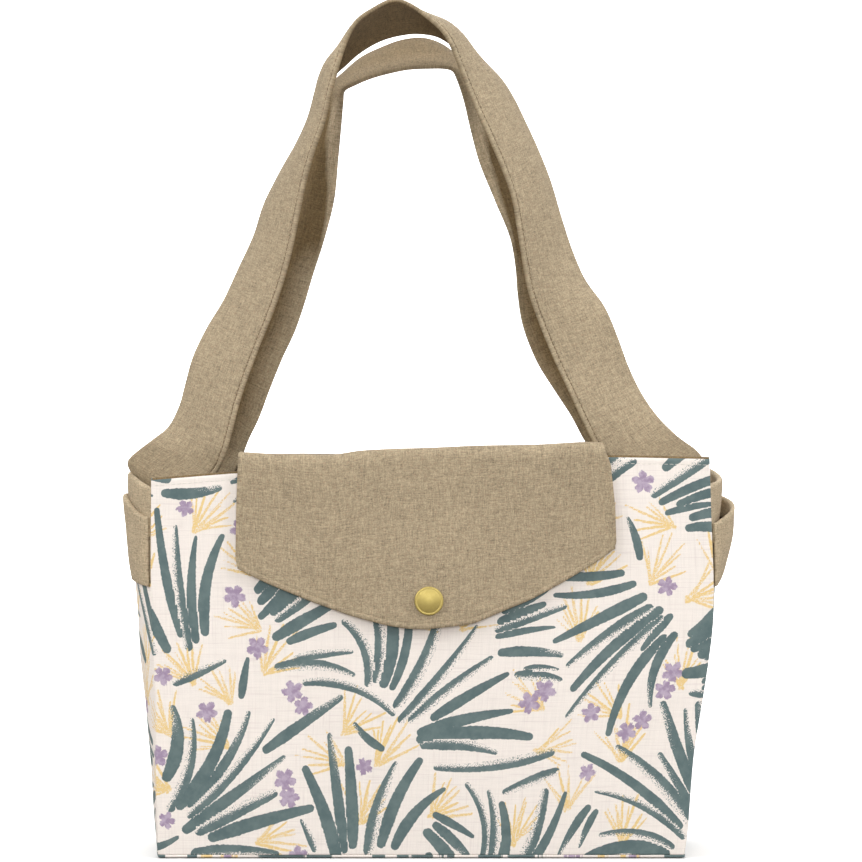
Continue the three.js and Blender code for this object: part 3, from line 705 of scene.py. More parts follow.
def bloom_marks(item, line, u, v):
    cos, sin = math.cos(item["turn"]), math.sin(item["turn"])
    x, y = u - line[0, 0], v - line[0, 1]
    marks = [x * cos + y * sin, y * cos - x * sin, np.full_like(x, item["radius"])]
    return np.stack(marks, -1), np.hypot(x, y) - item["radius"]


# kind, its marks, how far round a motif to look, furthest distance marked, marks elsewhere
MOTIF_KINDS = (("leaf", leaf_marks, 9.0, 6.0, (9.0, 0.0, 0.0)),
               ("line", line_marks, 3.5, 3.0, (9.0, 0.0, 0.0)),
               ("bloom", bloom_marks, 9.0, 6.0, (9.0, 9.0, 1.0)))


class Pattern:
    TUFT_GAP = 52.5
    TUFT_HEADINGS = [0.30, 0.62, 1.15, 2.0, 2.55, 2.9, -0.35, -2.75]

    def __init__(self, width, height, seed, wrap):
        self.width, self.height, self.wrap = width, height, wrap
        self.rand = np.random.RandomState(seed)
        self.items = {"leaf": [], "line": [], "bloom": []}
        self.strokes = np.zeros((0, 2))   # every point of the brush strokes
        self.add_tufts(self.tuft_centres())
        self.add_loose_strokes()
        self.taken = self.strokes.copy()
        self.add_fans()
        self.add_blossoms()

    def gaps(self, points, place):
        dx = points[:, 0] - place[0]
        if self.wrap:
            dx = np.minimum(abs(dx), self.width - abs(dx))
        return np.hypot(dx, points[:, 1] - place[1])

    def any_place(self):
        x = self.rand.uniform(0, self.width)
        return np.array([x, self.rand.uniform(-5, self.height + 5)])

    def tuft_centres(self):
        over = 0 if self.wrap else 10
        centres = np.zeros((0, 2))
        for _ in range(4000):
            x = self.rand.uniform(-over, self.width + over)
            place = np.array([x, self.rand.uniform(-22, self.height + 22)])
            if len(centres) and self.gaps(centres, place).min() < self.TUFT_GAP:
                continue
            centres = np.vstack([centres, place])
        return centres

    def add_tufts(self, centres):
        rand = self.rand
        owner = np.zeros(0)
        for tuft in rand.permutation(len(centres)):
            phi = rand.choice(self.TUFT_HEADINGS) + rand.uniform(-0.25, 0.25)
            count = rand.randint(12, 15)
            fan = rand.uniform(0.80, 1.25)
            base = centres[tuft] - 20 * heading(phi)
            aside = np.array([-math.sin(phi), math.cos(phi)])
            side = rand.choice([-1, 1])
            for k in rand.permutation(count):
                f = (k / (count - 1.0)) * 2 - 1
                angle = phi + fan * f * 0.92 + rand.uniform(-0.09, 0.09)
                length = rand.uniform(46, 74) * (1 - 0.24 * f * f)
                half = rand.uniform(2.6, 4.2)
                start = (base + (1 + 6 * abs(f) + rand.uniform(0, 16)) * heading(angle)
                         + 14.0 * f * aside)
                stroke = bend(start, angle - 0.35 * f, length,
                              f * 0.75 + side * rand.uniform(0.0, 0.35))
                keep = self.clear_points(stroke, half, owner == tuft)
                if keep < 6:
                    continue
                stroke = stroke[:keep]
                dry = rand.uniform() ** 0.8
                self.items["leaf"].append({
                    "line": stroke, "half": half * (0.8 if keep < 10 else 1.0), "dry": dry,
                    "side": rand.choice([-1, 1]), "taper": rand.uniform(0.3, 0.62)})
                self.strokes = np.vstack([self.strokes, stroke])
                owner = np.concatenate([owner, np.full(keep, tuft)])

    def clear_points(self, stroke, half, own):
        """how many points a stroke runs before it meets another tuft or its own"""
        if len(self.strokes):
            for k in range(len(stroke)):
                gaps = self.gaps(self.strokes, stroke[k])
                others, same = gaps[~own], gaps[own]
                if len(others) and others.min() < half + 2.6:
                    return k
                if k > 4 and len(same) and same.min() < half + 1.2:
                    return k
        return len(stroke)

    def add_loose_strokes(self):
        """short strokes in the gaps"""
        rand = self.rand
        for _ in range(900):
            place = self.any_place()
            length, angle = rand.uniform(20, 34), rand.uniform(0, pi)
            stroke = bend(place, angle, length, rand.uniform(-0.5, 0.5), 9)
            if min(self.gaps(self.strokes, point).min() for point in stroke) < 8.2:
                continue
            self.items["leaf"].append({"line": stroke, "half": rand.uniform(2.4, 3.2),
                                       "dry": rand.uniform(), "side": 1, "taper": 0.45})
            self.strokes = np.vstack([self.strokes, stroke])

    def add_fans(self):
        rand = self.rand
        fans = np.zeros((0, 2))
        for _ in range(3000):
            place = self.any_place()
            phi = rand.uniform(0.2, 2.9)
            tip = place + 15 * heading(phi)
            if (self.gaps(self.taken, tip).min() < 6.4
                    or self.gaps(self.taken, place).min() < 3.0
                    or (len(fans) and self.gaps(fans, tip).min() < 20)):
                continue
            count = rand.randint(7, 11)
            for k in range(count):
                f = (k / (count - 1.0)) * 2 - 1
                angle = phi + 0.72 * f + rand.uniform(-0.05, 0.05)
                length = rand.uniform(19, 30) * (1 - 0.2 * abs(f))
                line = bend(place + rand.uniform(-1.4, 1.4, 2), angle, length,
                            rand.uniform(-0.18, 0.18), 7)
                self.items["line"].append({"line": line, "half": rand.uniform(0.85, 1.25),
                                           "dry": rand.uniform(0.0, 0.45)})
            fans = np.vstack([fans, tip])
            self.taken = np.vstack([self.taken, place, tip, place + 24 * heading(phi)])

    def add_blossoms(self):
        """blossoms, single or in pairs, in what room is left"""
        rand = self.rand
        heads = np.zeros((0, 2))
        for _ in range(4000):
            place = self.any_place()
            if (self.gaps(self.taken, place).min() < 7.6
                    or (len(heads) and self.gaps(heads, place).min() < 29)):
                continue
            for k in range(rand.randint(1, 3)):
                centre = place + 10.0 * k * heading(k * 2.3 + place[0])
                if k and self.gaps(self.strokes, centre).min() < 6.5:
                    continue
                self.items["bloom"].append({"line": centre[None],
                                            "radius": rand.uniform(4.8, 6.4),
                                            "turn": rand.uniform(0, 6.28)})
            heads = np.vstack([heads, place])

    def marks(self, u, v):
        """cloth coordinates on a grid -> marks on each face corner for the print shader"""
        faces = (u.shape[0] - 1, u.shape[1] - 1)
        shifts = (-self.width, 0, self.width) if self.wrap else (0,)
        found = {}
        for kind, marks_of, pad, furthest, elsewhere in MOTIF_KINDS:
            marks = np.tile(elsewhere, faces + (4, 1))
            best = np.full(faces, furthest)
            for item in self.items[kind]:
                for shift in shifts:
                    line = item["line"] + [shift, 0]
                    low, high = line.min(0) - pad, line.max(0) + pad
                    i, j = np.nonzero((u > low[0]) & (u < high[0])
                                      & (v > low[1]) & (v < high[1]))
                    if len(i) == 0:
                        continue
                    i0, i1 = max(i.min() - 1, 0), min(i.max() + 2, u.shape[0])
                    j0, j1 = max(j.min() - 1, 0), min(j.max() + 2, u.shape[1])
                    values, dist = marks_of(item, line, u[i0:i1, j0:j1], v[i0:i1, j0:j1])
                    dist = (dist[:-1, :-1] + dist[1:, :-1] + dist[1:, 1:] + dist[:-1, 1:]) / 4
                    nearby = best[i0:i1 - 1, j0:j1 - 1]
                    closer = dist < nearby
                    nearby[closer] = dist[closer]
                    corners = np.stack([values[:-1, :-1], values[1:, :-1],
                                        values[1:, 1:], values[:-1, 1:]], 2)
                    marks[i0:i1 - 1, j0:j1 - 1][closer] = corners[closer]
            found["mk_" + kind] = marks
        return found


walls_print = Pattern(2 * (FRONT_W + SIDE_W), 232.0, 12, True)
base_print = Pattern(FRONT_W, SIDE_W, 5, False)

# ------------------------------------------------------------------ bag walls
pieces = []   # object, body it rides on, material slot


def edge_dense(total, step):
    """0..1 positions, denser by both edges"""
    near = np.array(EDGE_STEPS) / total
    count = max(3, int((total - 2 * EDGE_STEPS[-1]) / (step * COARSEN)))
    middle = np.linspace(near[-1], 1 - near[-1], count)
    return np.concatenate([[0], near[:-1], middle, 1 - near[:-1][::-1], [1]])


def centred(width, step):
    return edge_dense(width, step) * width - width / 2


def fold_rows(up_steps, arc_steps, inside_steps):
    """row codes: 0..1 up the wall, 1..2 round the fold, 2..3 down inside"""
    return np.concatenate([np.linspace(0, 1, int(up_steps / COARSEN)),
                           1 + np.arange(1, arc_steps) / arc_steps,
                           2 + np.arange(0, inside_steps + 1) / inside_steps])


def folded(rows, bottom, top, radius, inside):
    """height, depth behind the outer mid surface, and cloth length, for fold rows"""
    fold_z = top - CLOTH / 2 - radius
    rise = bottom + (fold_z - bottom) * np.clip(rows, 0, 1)
    angle = np.clip(rows - 1, 0, 1) * pi
    down = np.clip(rows - 2, 0, 1) * inside
    z = rise + radius * np.sin(angle) - down
    return z, radius - radius * np.cos(angle), rise + angle * radius + down


def wall(name, facing, top, linen_from, *replaced):
    """front (-1) or back (1) wall; fold rows past linen_from are faced with linen"""
    u = edge_dense(FRONT_W, 1.15)[:, None]
    rows = fold_rows(190, 7, 10)
    r = rows[None, :]
    top_z = top(lerp(left_x(200.0), right_x(200.0), u))
    z, depth, cloth_v = folded(r, WALL_BOTTOM, top_z, radius=1.45, inside=15.0)
    on_wall = np.clip(z, 0, 230)
    x = (left_x(on_wall) + CLOTH / 2
         + (right_x(on_wall) - left_x(on_wall) - CLOTH) * u)
    y = facing * (HALF_DEPTH + belly(x, on_wall) - CLOTH / 2 - depth)
    cloth_u = FRONT_W * u if facing < 0 else FRONT_W + SIDE_W + FRONT_W * (1 - u)
    outer = np.clip(2 - r, 0, 1) * np.sin(pi * u) ** 0.5
    disp = waves(cloth_u, cloth_v, 0.40, 95.0, 3 + facing) * outer
    disp = disp * np.clip((220 - z) / 40, 0.25, 1)
    # a groove along the hem stitching and a faint swell above it
    above_hem = z - (top_z - HEM_DROP)
    disp = disp - 0.12 * dip(above_hem, 0.6) * (r <= 1) + 0.05 * dip(above_hem - 1.8, 1.2) * (r <= 1)
    # painted shade: the linen facing round the top of the front fold is darkened into a thin dark
    # line
    turned = (1.1 * np.clip((r - 1.0) / 0.1, 0, 1) * np.clip((2.1 - r) / 0.3, 0, 1)
              * (facing < 0))
    ob, _, _ = sheet(name, grid(x, y, z), CLOTH, [PRINT, PRINT_BACK], cloth_u, cloth_v,
                     flip=-facing, disp=disp, motifs=walls_print.marks, shade=(turned, 1.0))
    mesh = ob.data
    mesh.materials.append(LINEN)
    mat_index = np.zeros(len(mesh.polygons), np.int32)
    mesh.polygons.foreach_get("material_index", mat_index)
    past = np.tile(rows[:-1], len(u) - 1) >= linen_from
    mat_index[:len(past)][past] = 2
    mesh.polygons.foreach_set("material_index", mat_index)
    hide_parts(*replaced)
    return ob


def hem_stitching(name, facing, top):
    x = lerp(left_x(200.0), right_x(200.0), np.linspace(0.006, 0.994, 240))
    z = top(x) - HEM_DROP
    line = grid(x, facing * (HALF_DEPTH + belly(x, z) - 0.10), z)
    normal = grid(0 * x, float(facing), 0 * x)
    ob = stitches(name, line, normal, THREAD_PRINT, length=2.3, radius=0.14)
    pieces.append((ob, "bag", "printed_cloth"))


def side_cloth(tag, side):
    """printed lower part of a side wall"""
    y = centred(SIDE_CLOTH_W, 1.3)[:, None]
    z = np.linspace(WALL_BOTTOM, 149.5, int(115 / COARSEN))[None, :]
    if side > 0:
        cloth_u = FRONT_W + (y + HALF_DEPTH)
    else:
        cloth_u = 2 * FRONT_W + SIDE_W + (HALF_DEPTH - y)
    disp = waves(cloth_u, z, 0.38, 60.0, 20 + side)
    disp = disp * np.sin(pi * (y + SIDE_CLOTH_W / 2) / SIDE_CLOTH_W) ** 0.7
    disp = disp * np.clip(np.minimum(z - 2, 151 - z) / 18, 0, 1)
    ob, _, _ = sheet(f"{tag}_side_cloth", grid(side_x(side, y, z) - side * CLOTH / 2, y, z),
                     CLOTH, [PRINT, PRINT_BACK], cloth_u, z, flip=side, disp=disp,
                     motifs=walls_print.marks)
    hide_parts(f"{tag}_gusset")
    pieces.append((ob, "bag", "printed_cloth"))


def side_yoke(tag, side):
    """linen band with a turned lip at the top of a side wall"""
    y = centred(SIDE_CLOTH_W, 1.3)[:, None]
    r = fold_rows(44, 8, 8)[None, :]
    z, depth, cloth_v = folded(r, 150.1, lip_z(side, y), radius=1.15, inside=11.0)
    x = side_x(side, y, z) - side * (CLOTH / 2 + depth)
    disp = waves(y + 40, cloth_v, 0.30, 34.0, 31 + side)
    disp = disp * np.sin(pi * (y + SIDE_CLOTH_W / 2) / SIDE_CLOTH_W) * np.clip(2 - r, 0, 1)
    # painted light lifts the outer face by about a fifth; painted shade darkens the inner face
    ob, _, _ = sheet(f"{tag}_yoke_cloth", grid(x, y, z), CLOTH, [LINEN, LINEN], y + 40,
                     cloth_v, flip=side, disp=disp, shade=(-0.3, 1.0))
    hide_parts(f"{tag}_gusset_yoke")
    pieces.append((ob, "bag", "linen"))


def side_pocket(tag, side):
    """patch pocket standing open at the lip"""
    corner_x, stands_out = ((left_x, left_pocket_out) if side < 0
                            else (right_x, right_pocket_out))
    y = centred(POCKET_W, 1.3)[:, None]
    r = fold_rows(38, 8, 8)[None, :]
    z, depth, cloth_v = folded(r, 148.7 + 1.3 * across(y), pocket_lip_z(side, y),
                               radius=1.1, inside=9.0)
    open_ = np.maximum(across(y), 1e-6) ** 0.8
    x = corner_x(z) + side * (0.62 + 0.58 * np.clip(4 * open_, 0, 1) + stands_out(z) * open_
                              - depth * np.clip(2.5 * open_, 0.25, 1))
    disp = waves(y + 40, cloth_v, 0.45, 30.0, 41 + side)
    disp = disp * np.sin(pi * (y + POCKET_W / 2) / POCKET_W)
    disp = disp * np.clip((z - 149) / 10, 0, 1) * np.clip(2 - r, 0, 1)
    # painted light lifts the outer face by about a fifth; painted shade darkens the inner face
    ob, _, _ = sheet(f"{tag}_pocket_cloth", grid(x, y, z), CLOTH, [LINEN, LINEN], y + 40,
                     cloth_v, flip=side, disp=disp, shade=(-0.32, 1.0))
    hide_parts(f"{tag}_pocket")
    pieces.append((ob, "bag", "linen"))


def floor_grid(over, y, inset):
    """x and y of a floor panel kept inset from the side walls; over runs 0..1 in x"""
    y = y[None, :]
    low, high = side_x(-1, y, 4.0) + inset, side_x(1, y, 4.0) - inset
    return low + (high - low) * over[:, None], y


def base_cloth():
    x, y = floor_grid(edge_dense(290.0, 1.6), centred(POCKET_W, 1.6), inset=0.8)
    ob, _, _ = sheet("base_cloth", grid(x, y, 0.9), 1.6, [PRINT, PRINT_BACK], x + 150,
                     y + HALF_DEPTH, flip=-1, motifs=base_print.marks)
    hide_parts("base_panel")
    pieces.append((ob, "bag", "printed_cloth"))


def inner_lining():
    """one closed ring of cloth just inside the walls; its inner face shows in the mouth"""
    bottom, corner_in, wall_in, side_half = 4.2, 3.1, 2.25, 35.6
    rise = np.concatenate([np.linspace(0, 0.9, 34), np.linspace(0.915, 1, 6)])[None, :]
    ring = []
    for is_wall, sign in ((True, -1), (False, 1), (True, 1), (False, -1)):
        t = np.linspace(0, 1, 110 if is_wall else 30, endpoint=False)[:, None]
        if is_wall:
            over = t if sign < 0 else 1 - t
            top = front_top if sign < 0 else back_top
            top_z = top(lerp(left_x(180.0), right_x(180.0), over)) - 4.5
            z = lerp(bottom, top_z, rise)
            x = left_x(z) + corner_in + (right_x(z) - left_x(z) - 2 * corner_in) * over
            y = sign * (HALF_DEPTH + belly(x, z) - wall_in)
        else:
            y = (-1 + 2 * t) * side_half * sign
            z = lerp(bottom, lip_z(sign, y) - 6.0, rise)
            x = side_x(sign, y, z) - sign * wall_in
        ring.append(grid(x, y, z))
    points = np.concatenate(ring)
    # cloth coordinates from mean lengths along the grid
    round_step = np.linalg.norm(np.diff(points, axis=0), axis=2).mean(1)
    up_step = np.linalg.norm(np.diff(points, axis=1), axis=2).mean(0)
    cloth_u = np.concatenate([[0], np.cumsum(round_step)])[:, None]
    cloth_v = np.concatenate([[0], np.cumsum(up_step)])[None, :]
    slack = waves(cloth_u, cloth_v, 0.35, 50.0, 77) * np.clip((points[..., 2] - 4) / 20, 0, 1)
    ob, _, _ = sheet("inner_lining", points, 0.8, [LINING, LINING], cloth_u, cloth_v,
                     closed=True, disp=-np.abs(slack))
    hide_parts("left_lining", "right_lining", "front_lining", "back_lining")
    pieces.append((ob, "bag", "lining_cloth"))


def inner_base():
    x, y = floor_grid(np.linspace(0, 1, 120), np.linspace(-35.4, 35.4, 34), inset=3.6)
    ob, _, _ = sheet("inner_base", grid(x, y, 2.85), 0.9, [LINING], x, y)
    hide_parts("base_lining")
    pieces.append((ob, "bag", "lining_cloth"))


front_cloth = wall("front_cloth", -1, front_top, 1.1, "front_panel", "front_hem_facing")
back_cloth = wall("back_cloth", 1, back_top, 1.7, "back_panel", "back_hem_facing")
hem_stitching("front_hem_stitching", -1, front_top)
hem_stitching("back_hem_stitching", 1, back_top)
for tag, side in (("left", -1), ("right", 1)):
    side_cloth(tag, side)
    side_yoke(tag, side)
    side_pocket(tag, side)
base_cloth()
inner_lining()
inner_base()
pieces += [(front_cloth, "bag", "printed_cloth"), (back_cloth, "bag", "printed_cloth")]

# ------------------------------------------------------------------ straps
# stations from the left end over the top to the right end:
# rear edge x, y, z, front edge x, y, z, bow across the width
FRONT_STRAP = np.array([
    (-159.2, -5, 189, -149.6, -32, 164, 0),
    (-161.2, -7, 204, -141, -31.5, 184, 0),
    (-165.5, -9, 214.1, -130.4, -31, 197.4, 0),
    (-158.7, -13.5, 220.9, -122.9, -28.5, 204.9, 1),
    (-150.9, -16, 226.6, -116.4, -28, 210.9, 1.5),
    (-144, -12, 231.8, -112.4, -32, 219.8, 2),
    (-137.3, -9.7, 243.8, -108.5, -34.3, 233, 2),
    (-133.7, -9.4, 256.4, -104.7, -34.6, 247.7, 2),
    (-129.9, -9.8, 270.1, -100.4, -34.2, 260.7, 2),
    (-122.2, -9, 286.6, -93.9, -35, 278.1, 2),
    (-112.4, -7.5, 303, -86.2, -36.5, 297.2, 2.5),
    (-104.8, -6.7, 319.4, -80.8, -37.3, 312.9, 2.5),
    (-97.1, -5.6, 335.9, -76.4, -38.4, 328.7, 3),
    (-89.5, -4.7, 357.9, -71, -39.3, 354.8, 3.5),
    (-80.7, -3.6, 374.4, -67.7, -40.4, 369.9, 4),
    (-72.5, -3, 387.6, -63.3, -41, 385.1, 4),
    (-64.8, -2.7, 401.9, -57.9, -41.3, 400.3, 4.5),
    (-59.9, -2.6, 414, -54.7, -41.4, 414.4, 5),
    (-56, -2.6, 422.8, -52, -41.4, 424.1, 6),
    (-52.2, -2.7, 427.2, -49.8, -41.3, 431.7, 6.5),
    (-46.7, -3.2, 432.1, -46.6, -40.8, 441.5, 5),
    (-40.6, -4.1, 437.6, -41.7, -39.9, 451.8, 3.5),
    (-28.6, -4.5, 444.8, -30.9, -39.5, 460.5, 2),
    (-18.1, -4.9, 448, -19, -39.1, 465.4, 1),
    (-9.3, -3.9, 449.2, -10.3, -40.1, 462.1, 2),
    (-1.6, -3.1, 448.7, -2.7, -40.9, 456.7, 4),
    (4.9, -2.6, 447, 4.9, -41.4, 450.2, 6),
    (13.7, -2.7, 441.5, 9.7, -41.3, 443.7, 6.5),
    (24.7, -3.2, 433.8, 14.1, -40.8, 433.9, 5),
    (36.2, -4.5, 425, 19.5, -39.5, 419.8, 4),
    (44.5, -5.2, 412.9, 26, -38.8, 404.1, 3.5),
    (51, -5.4, 399.7, 32, -38.6, 391.1, 3),
    (57.6, -5.5, 385.4, 37.9, -38.5, 377.5, 3),
    (64.2, -5.6, 368.9, 43.9, -38.4, 361.3, 2.5),
    (70.8, -6.4, 346.9, 47.7, -37.6, 340.6, 2.5),
    (76.2, -7.5, 330.4, 50.4, -36.5, 324.3, 2),
    (83.3, -9.5, 314, 53.7, -34.5, 307.5, 2),
    (94.1, -13.5, 298.7, 60.3, -30.5, 288.9, 2),
    (101.2, -13.8, 282.3, 68, -30.2, 270.3, 2),
    (107.3, -12.2, 265.8, 76.1, -31.8, 253, 2),
    (114.9, -12.6, 250.5, 83.7, -31.4, 236.6, 2),
    (123, -14.7, 239.1, 90.8, -29.3, 222.9, 1.5),
    (134.1, -13.5, 228.1, 101.7, -28.5, 209.8, 1),
    (145.8, -9, 219, 115.8, -31, 196.4, 0),
    (152.5, -6, 206, 134, -31.5, 182, 0),
    (151.8, -4, 190, 147.5, -32, 166, 0),
], float)
BACK_STRAP = np.array([
    (-149.6, 32, 186, -158, 4, 163, 0),
    (-151, 31.5, 200, -148, 7, 180, 0),
    (-153, 30, 210.5, -126.4, 9, 192, 0),
    (-147.9, 28.5, 224.1, -110.6, 13.5, 206.1, 1),
    (-140.7, 28.2, 233.1, -105.6, 15.8, 214.9, 1.5),
    (-133, 29.7, 243.6, -101.8, 14.3, 224.9, 2),
    (-125.3, 32.5, 252.9, -96.1, 11.5, 236.7, 2),
    (-117.6, 34.9, 264.5, -90, 9.1, 252.8, 2),
    (-109.8, 35.7, 279.6, -82.8, 8.3, 270.5, 2),
    (-102.6, 35.8, 294.7, -75.6, 8.2, 286, 2),
    (-97, 36.3, 308, -70.6, 7.7, 300.4, 2),
    (-92.6, 36.3, 322.6, -66.2, 7.7, 315.3, 2),
    (-83.7, 37.3, 342.7, -59.6, 6.7, 335.8, 2),
    (-75.4, 38.5, 361.7, -54, 5.5, 357.9, 2.5),
    (-70.3, 39.4, 381.8, -51.8, 4.6, 379.9, 3),
    (-64.8, 40.2, 400.8, -50.1, 3.8, 399.2, 3.5),
    (-59.2, 40.9, 413.7, -49, 3.1, 411.4, 3.5),
    (-52.5, 41.3, 422.6, -47.9, 2.7, 418, 3),
    (-46.9, 41.1, 428.8, -41.8, 2.9, 421.3, 2.5),
    (-39.1, 40.7, 435.5, -34.1, 3.3, 424.6, 2),
    (-26.8, 40.3, 441.6, -23.7, 3.7, 427.6, 1.5),
    (-14.5, 40, 445.8, -12.7, 4, 429.8, 1),
    (-1.7, 40.1, 446.1, -1.1, 3.9, 430.4, 1.5),
    (8.4, 40.8, 441.6, 7.2, 3.2, 430.3, 2),
    (15.6, 41.3, 434.9, 12.1, 2.7, 429, 3),
    (21.8, 41.3, 424.9, 15.4, 2.7, 422.9, 3.5),
    (29, 40.8, 416.5, 18.7, 3.2, 413, 3.5),
    (37.4, 39.9, 402.5, 22.6, 4.1, 396.5, 3),
    (44.7, 39.2, 387.4, 27, 4.8, 379.9, 2.5),
    (55.8, 38.4, 366.7, 35.8, 5.6, 357.9, 2.5),
    (67, 37.6, 344.9, 44.7, 6.4, 335.8, 2),
    (73.1, 36.6, 327.6, 47.4, 7.4, 320.3, 2),
    (76.4, 35.7, 311.4, 48.6, 8.3, 305.4, 2),
    (79.2, 35.1, 299.1, 50.8, 8.9, 291, 2),
    (85.8, 34.7, 282.4, 58, 9.3, 271.1, 2),
    (98.6, 34.4, 262.9, 71.2, 9.6, 249.5, 2),
    (106.4, 33.8, 252.9, 78.4, 10.2, 238.4, 2),
    (113, 31.8, 245.1, 85.6, 12.2, 225, 1.5),
    (127.9, 28.5, 230.8, 100.1, 13.5, 206.1, 1),
    (144.1, 31, 215.6, 115.3, 9, 192, 0),
    (147.5, 31.5, 203, 140, 7, 182, 0),
    (147.5, 32, 190, 152, 4, 166, 0),
], float)
# distances across a strap from its stitched edge, dense round the stitching
STRAP_STEPS = np.array([
    0, 0.3, 0.6, 0.95, 1.3, 1.55, 1.75, STITCH_IN, 2.15, 2.4, 2.75, 3.4, 4.4, 5.8, 7.4, 9.4,
    11.8, 14.4, 17, 19.6, 22.2, 24.8, 27.4, 30, 32.4, 34.6, 36.4, 37.8, 38.8, 39.4, STRAP_W])


def spline(stations, places, station_at):
    """smooth curve through the stations, by length"""
    k = np.clip(np.searchsorted(station_at, places, "right") - 1, 0, len(station_at) - 2)
    slope = np.gradient(stations, station_at, axis=0)
    h = station_at[k + 1] - station_at[k]
    t = (places - station_at[k]) / h
    widen = (...,) + (None,) * (stations.ndim - 1)
    t, h = t[widen], h[widen]
    return ((2 * t**3 - 3 * t**2 + 1) * stations[k] + (t**3 - 2 * t**2 + t) * h * slope[k]
            + (-2 * t**3 + 3 * t**2) * stations[k + 1] + (t**3 - t**2) * h * slope[k + 1])


def smooth_rows(rows, reach=2):
    """light low-pass along the strap, ends kept"""
    weights = np.exp(-0.5 * (np.arange(-reach, reach + 1) / (reach / 2.2)) ** 2)
    weights /= weights.sum()
    padded = np.concatenate([2 * rows[:1] - rows[1:reach + 1][::-1], rows,
                             2 * rows[-1:] - rows[-reach - 1:-1][::-1]])
    return np.stack([np.convolve(padded[:, c], weights, "valid")
                     for c in range(rows.shape[1])], -1)


def back_strap_painted_shade(x, z, over):
    """painted shade on the back strap, most towards the rear edge where the front strap shades it,
    and painted light on the narrow strip where the front edge turns over; over runs 0..1 from
    the rear edge to the front"""
    x, over = x[:, None], over[None, :]
    # painted shade on the legs, most by the rear edge, where the front strap shades them
    leg = 1.60 - (np.where(x > 0, 1.18, 1.56)
                  * ramp(over - np.where(x > 0, 0.17, 0.06), 0.48, 0.98))
    turn_at = 1 - 0.19 * np.clip((z - 335) / 75, 0, 1)[:, None]
    # below nought this is painted light on the narrow turned-over front edge
    sharp = 1.5 - 1.9 * np.clip((over - turn_at + 0.02) / 0.05, 0, 1)
    # painted shade on the arch, less towards the front edge
    arch_painted_shade = 0.93 - 0.36 * ramp(over, 0.45, 0.98)
    upper = ramp(z, 315, 350)[:, None]
    arch = ramp(z, 398, 420)[:, None]
    return (leg * (1 - upper) + sharp * upper) * (1 - arch) + arch_painted_shade * arch


def strap(name, stations, is_front, seed):
    """the front strap is stitched by its front edge, the back strap by its rear edge"""
    station_at = path_length((stations[:, 0:3] + stations[:, 3:6]) / 2)
    along = np.linspace(0, station_at[-1], int(station_at[-1] / (1.3 * COARSEN)))
    rows = smooth_rows(spline(stations, along, station_at))
    rear, front, bow = rows[:, 0:3], rows[:, 3:6], rows[:, 6:7]
    z = (rows[:, 2] + rows[:, 5]) / 2
    from_edge = STRAP_STEPS
    over = 1 - from_edge / STRAP_W if is_front else from_edge / STRAP_W   # 0 at the rear edge
    ahead = unit(np.gradient((rear + front) / 2, axis=0))
    out = -unit(np.cross(ahead, front - rear))[:, None]
    points = rear[:, None] + (front - rear)[:, None] * over[None, :, None]
    points = points + out * (bow * 4 * (over * (1 - over))[None])[..., None]
    u, v = along[:, None], from_edge[None, :]
    # painted shade: the front strap darkens towards its roots, where it goes down into the bag, and
    # its inner face, seen under the arch, takes full painted shade; the back strap's inner face,
    # towards the front strap, takes painted shade and, on its turned-over edge, painted light
    if is_front:
        shade = ((0.24 * np.clip((246 - z) / 42, 0, 1) ** 1.5)[:, None], 1.0)
    else:
        # the legs are creased along their length, so the near part turns to the front
        crease = 5.5 * np.clip((z - 225) / 40, 0, 1) * np.clip((412 - z) / 25, 0, 1)
        crest_at = 0.68
        hump = np.where(over < crest_at, np.sin(pi / 2 * over / crest_at),
                        np.sin(pi / 2 * (1 - over) / 0.32))
        hump = np.maximum(hump, 0) ** 1.3
        points = points + out * (crease[:, None] * hump[None, :])[..., None]
        shade = (0.0, back_strap_painted_shade(rows[:, 0], z, over))
    body = np.sin(pi * np.clip(from_edge / STRAP_W, 0, 1)) ** 0.6
    points = points + out * (waves(u, v, 0.35, 42.0, seed) * body)[..., None]
    # pressed along the stitch line, with a soft ridge outside it
    thickness = (2.15 - 0.75 * dip(v - STITCH_IN, 0.42) + 0.14 * dip(v - 0.9, 0.7)
                 + 0.10 * np.sin(u * 2 * pi / 3.0) * dip(v - STITCH_IN, 1.2))
    ob, points, normal = sheet(name, points, thickness, [LINEN, LINEN], u, v, notch=0.82,
                               shade=shade)
    obs = [ob]
    j = int(np.argmin(abs(from_edge - STITCH_IN)))
    line, facing, half = points[:, j], normal[:, j], (thickness[:, j] / 2)[:, None]
    for suffix, sign in (("_stitching", 1), ("_stitching_inside", -1)):
        obs.append(stitches(name + suffix, line + sign * facing * half, sign * facing,
                            THREAD_LINEN, pitch=2.7, length=2.35, radius=0.19))
    return obs


# object, body at the start, body at the end, start and end of the blend in metres, slot
blends = []
for name, stations, is_front, seed, body, y in (
        ("front_strap", FRONT_STRAP, True, 51, "front_handle", -0.030),
        ("back_strap", BACK_STRAP, False, 52, "back_handle", 0.028)):
    obs = strap(name, stations, is_front, seed)
    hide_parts(body, f"{body}_left_end", f"{body}_right_end")
    blends += [(ob, "bag", body, (0, y, 0.205), (0, y, 0.235), "linen") for ob in obs]

# ------------------------------------------------------------------ flap
# x, then height of the flap's crest along the front of the mouth, over its outer face
crest_top = soft([(-103, 221.4), (-81, 220.3), (-56, 219.2), (-50, 219.8), (-39, 222),
                  (-19.5, 223.6), (5.4, 224.1), (26.5, 224.7), (58, 225.2), (86.6, 226.8),
                  (93, 226.3)], 3)
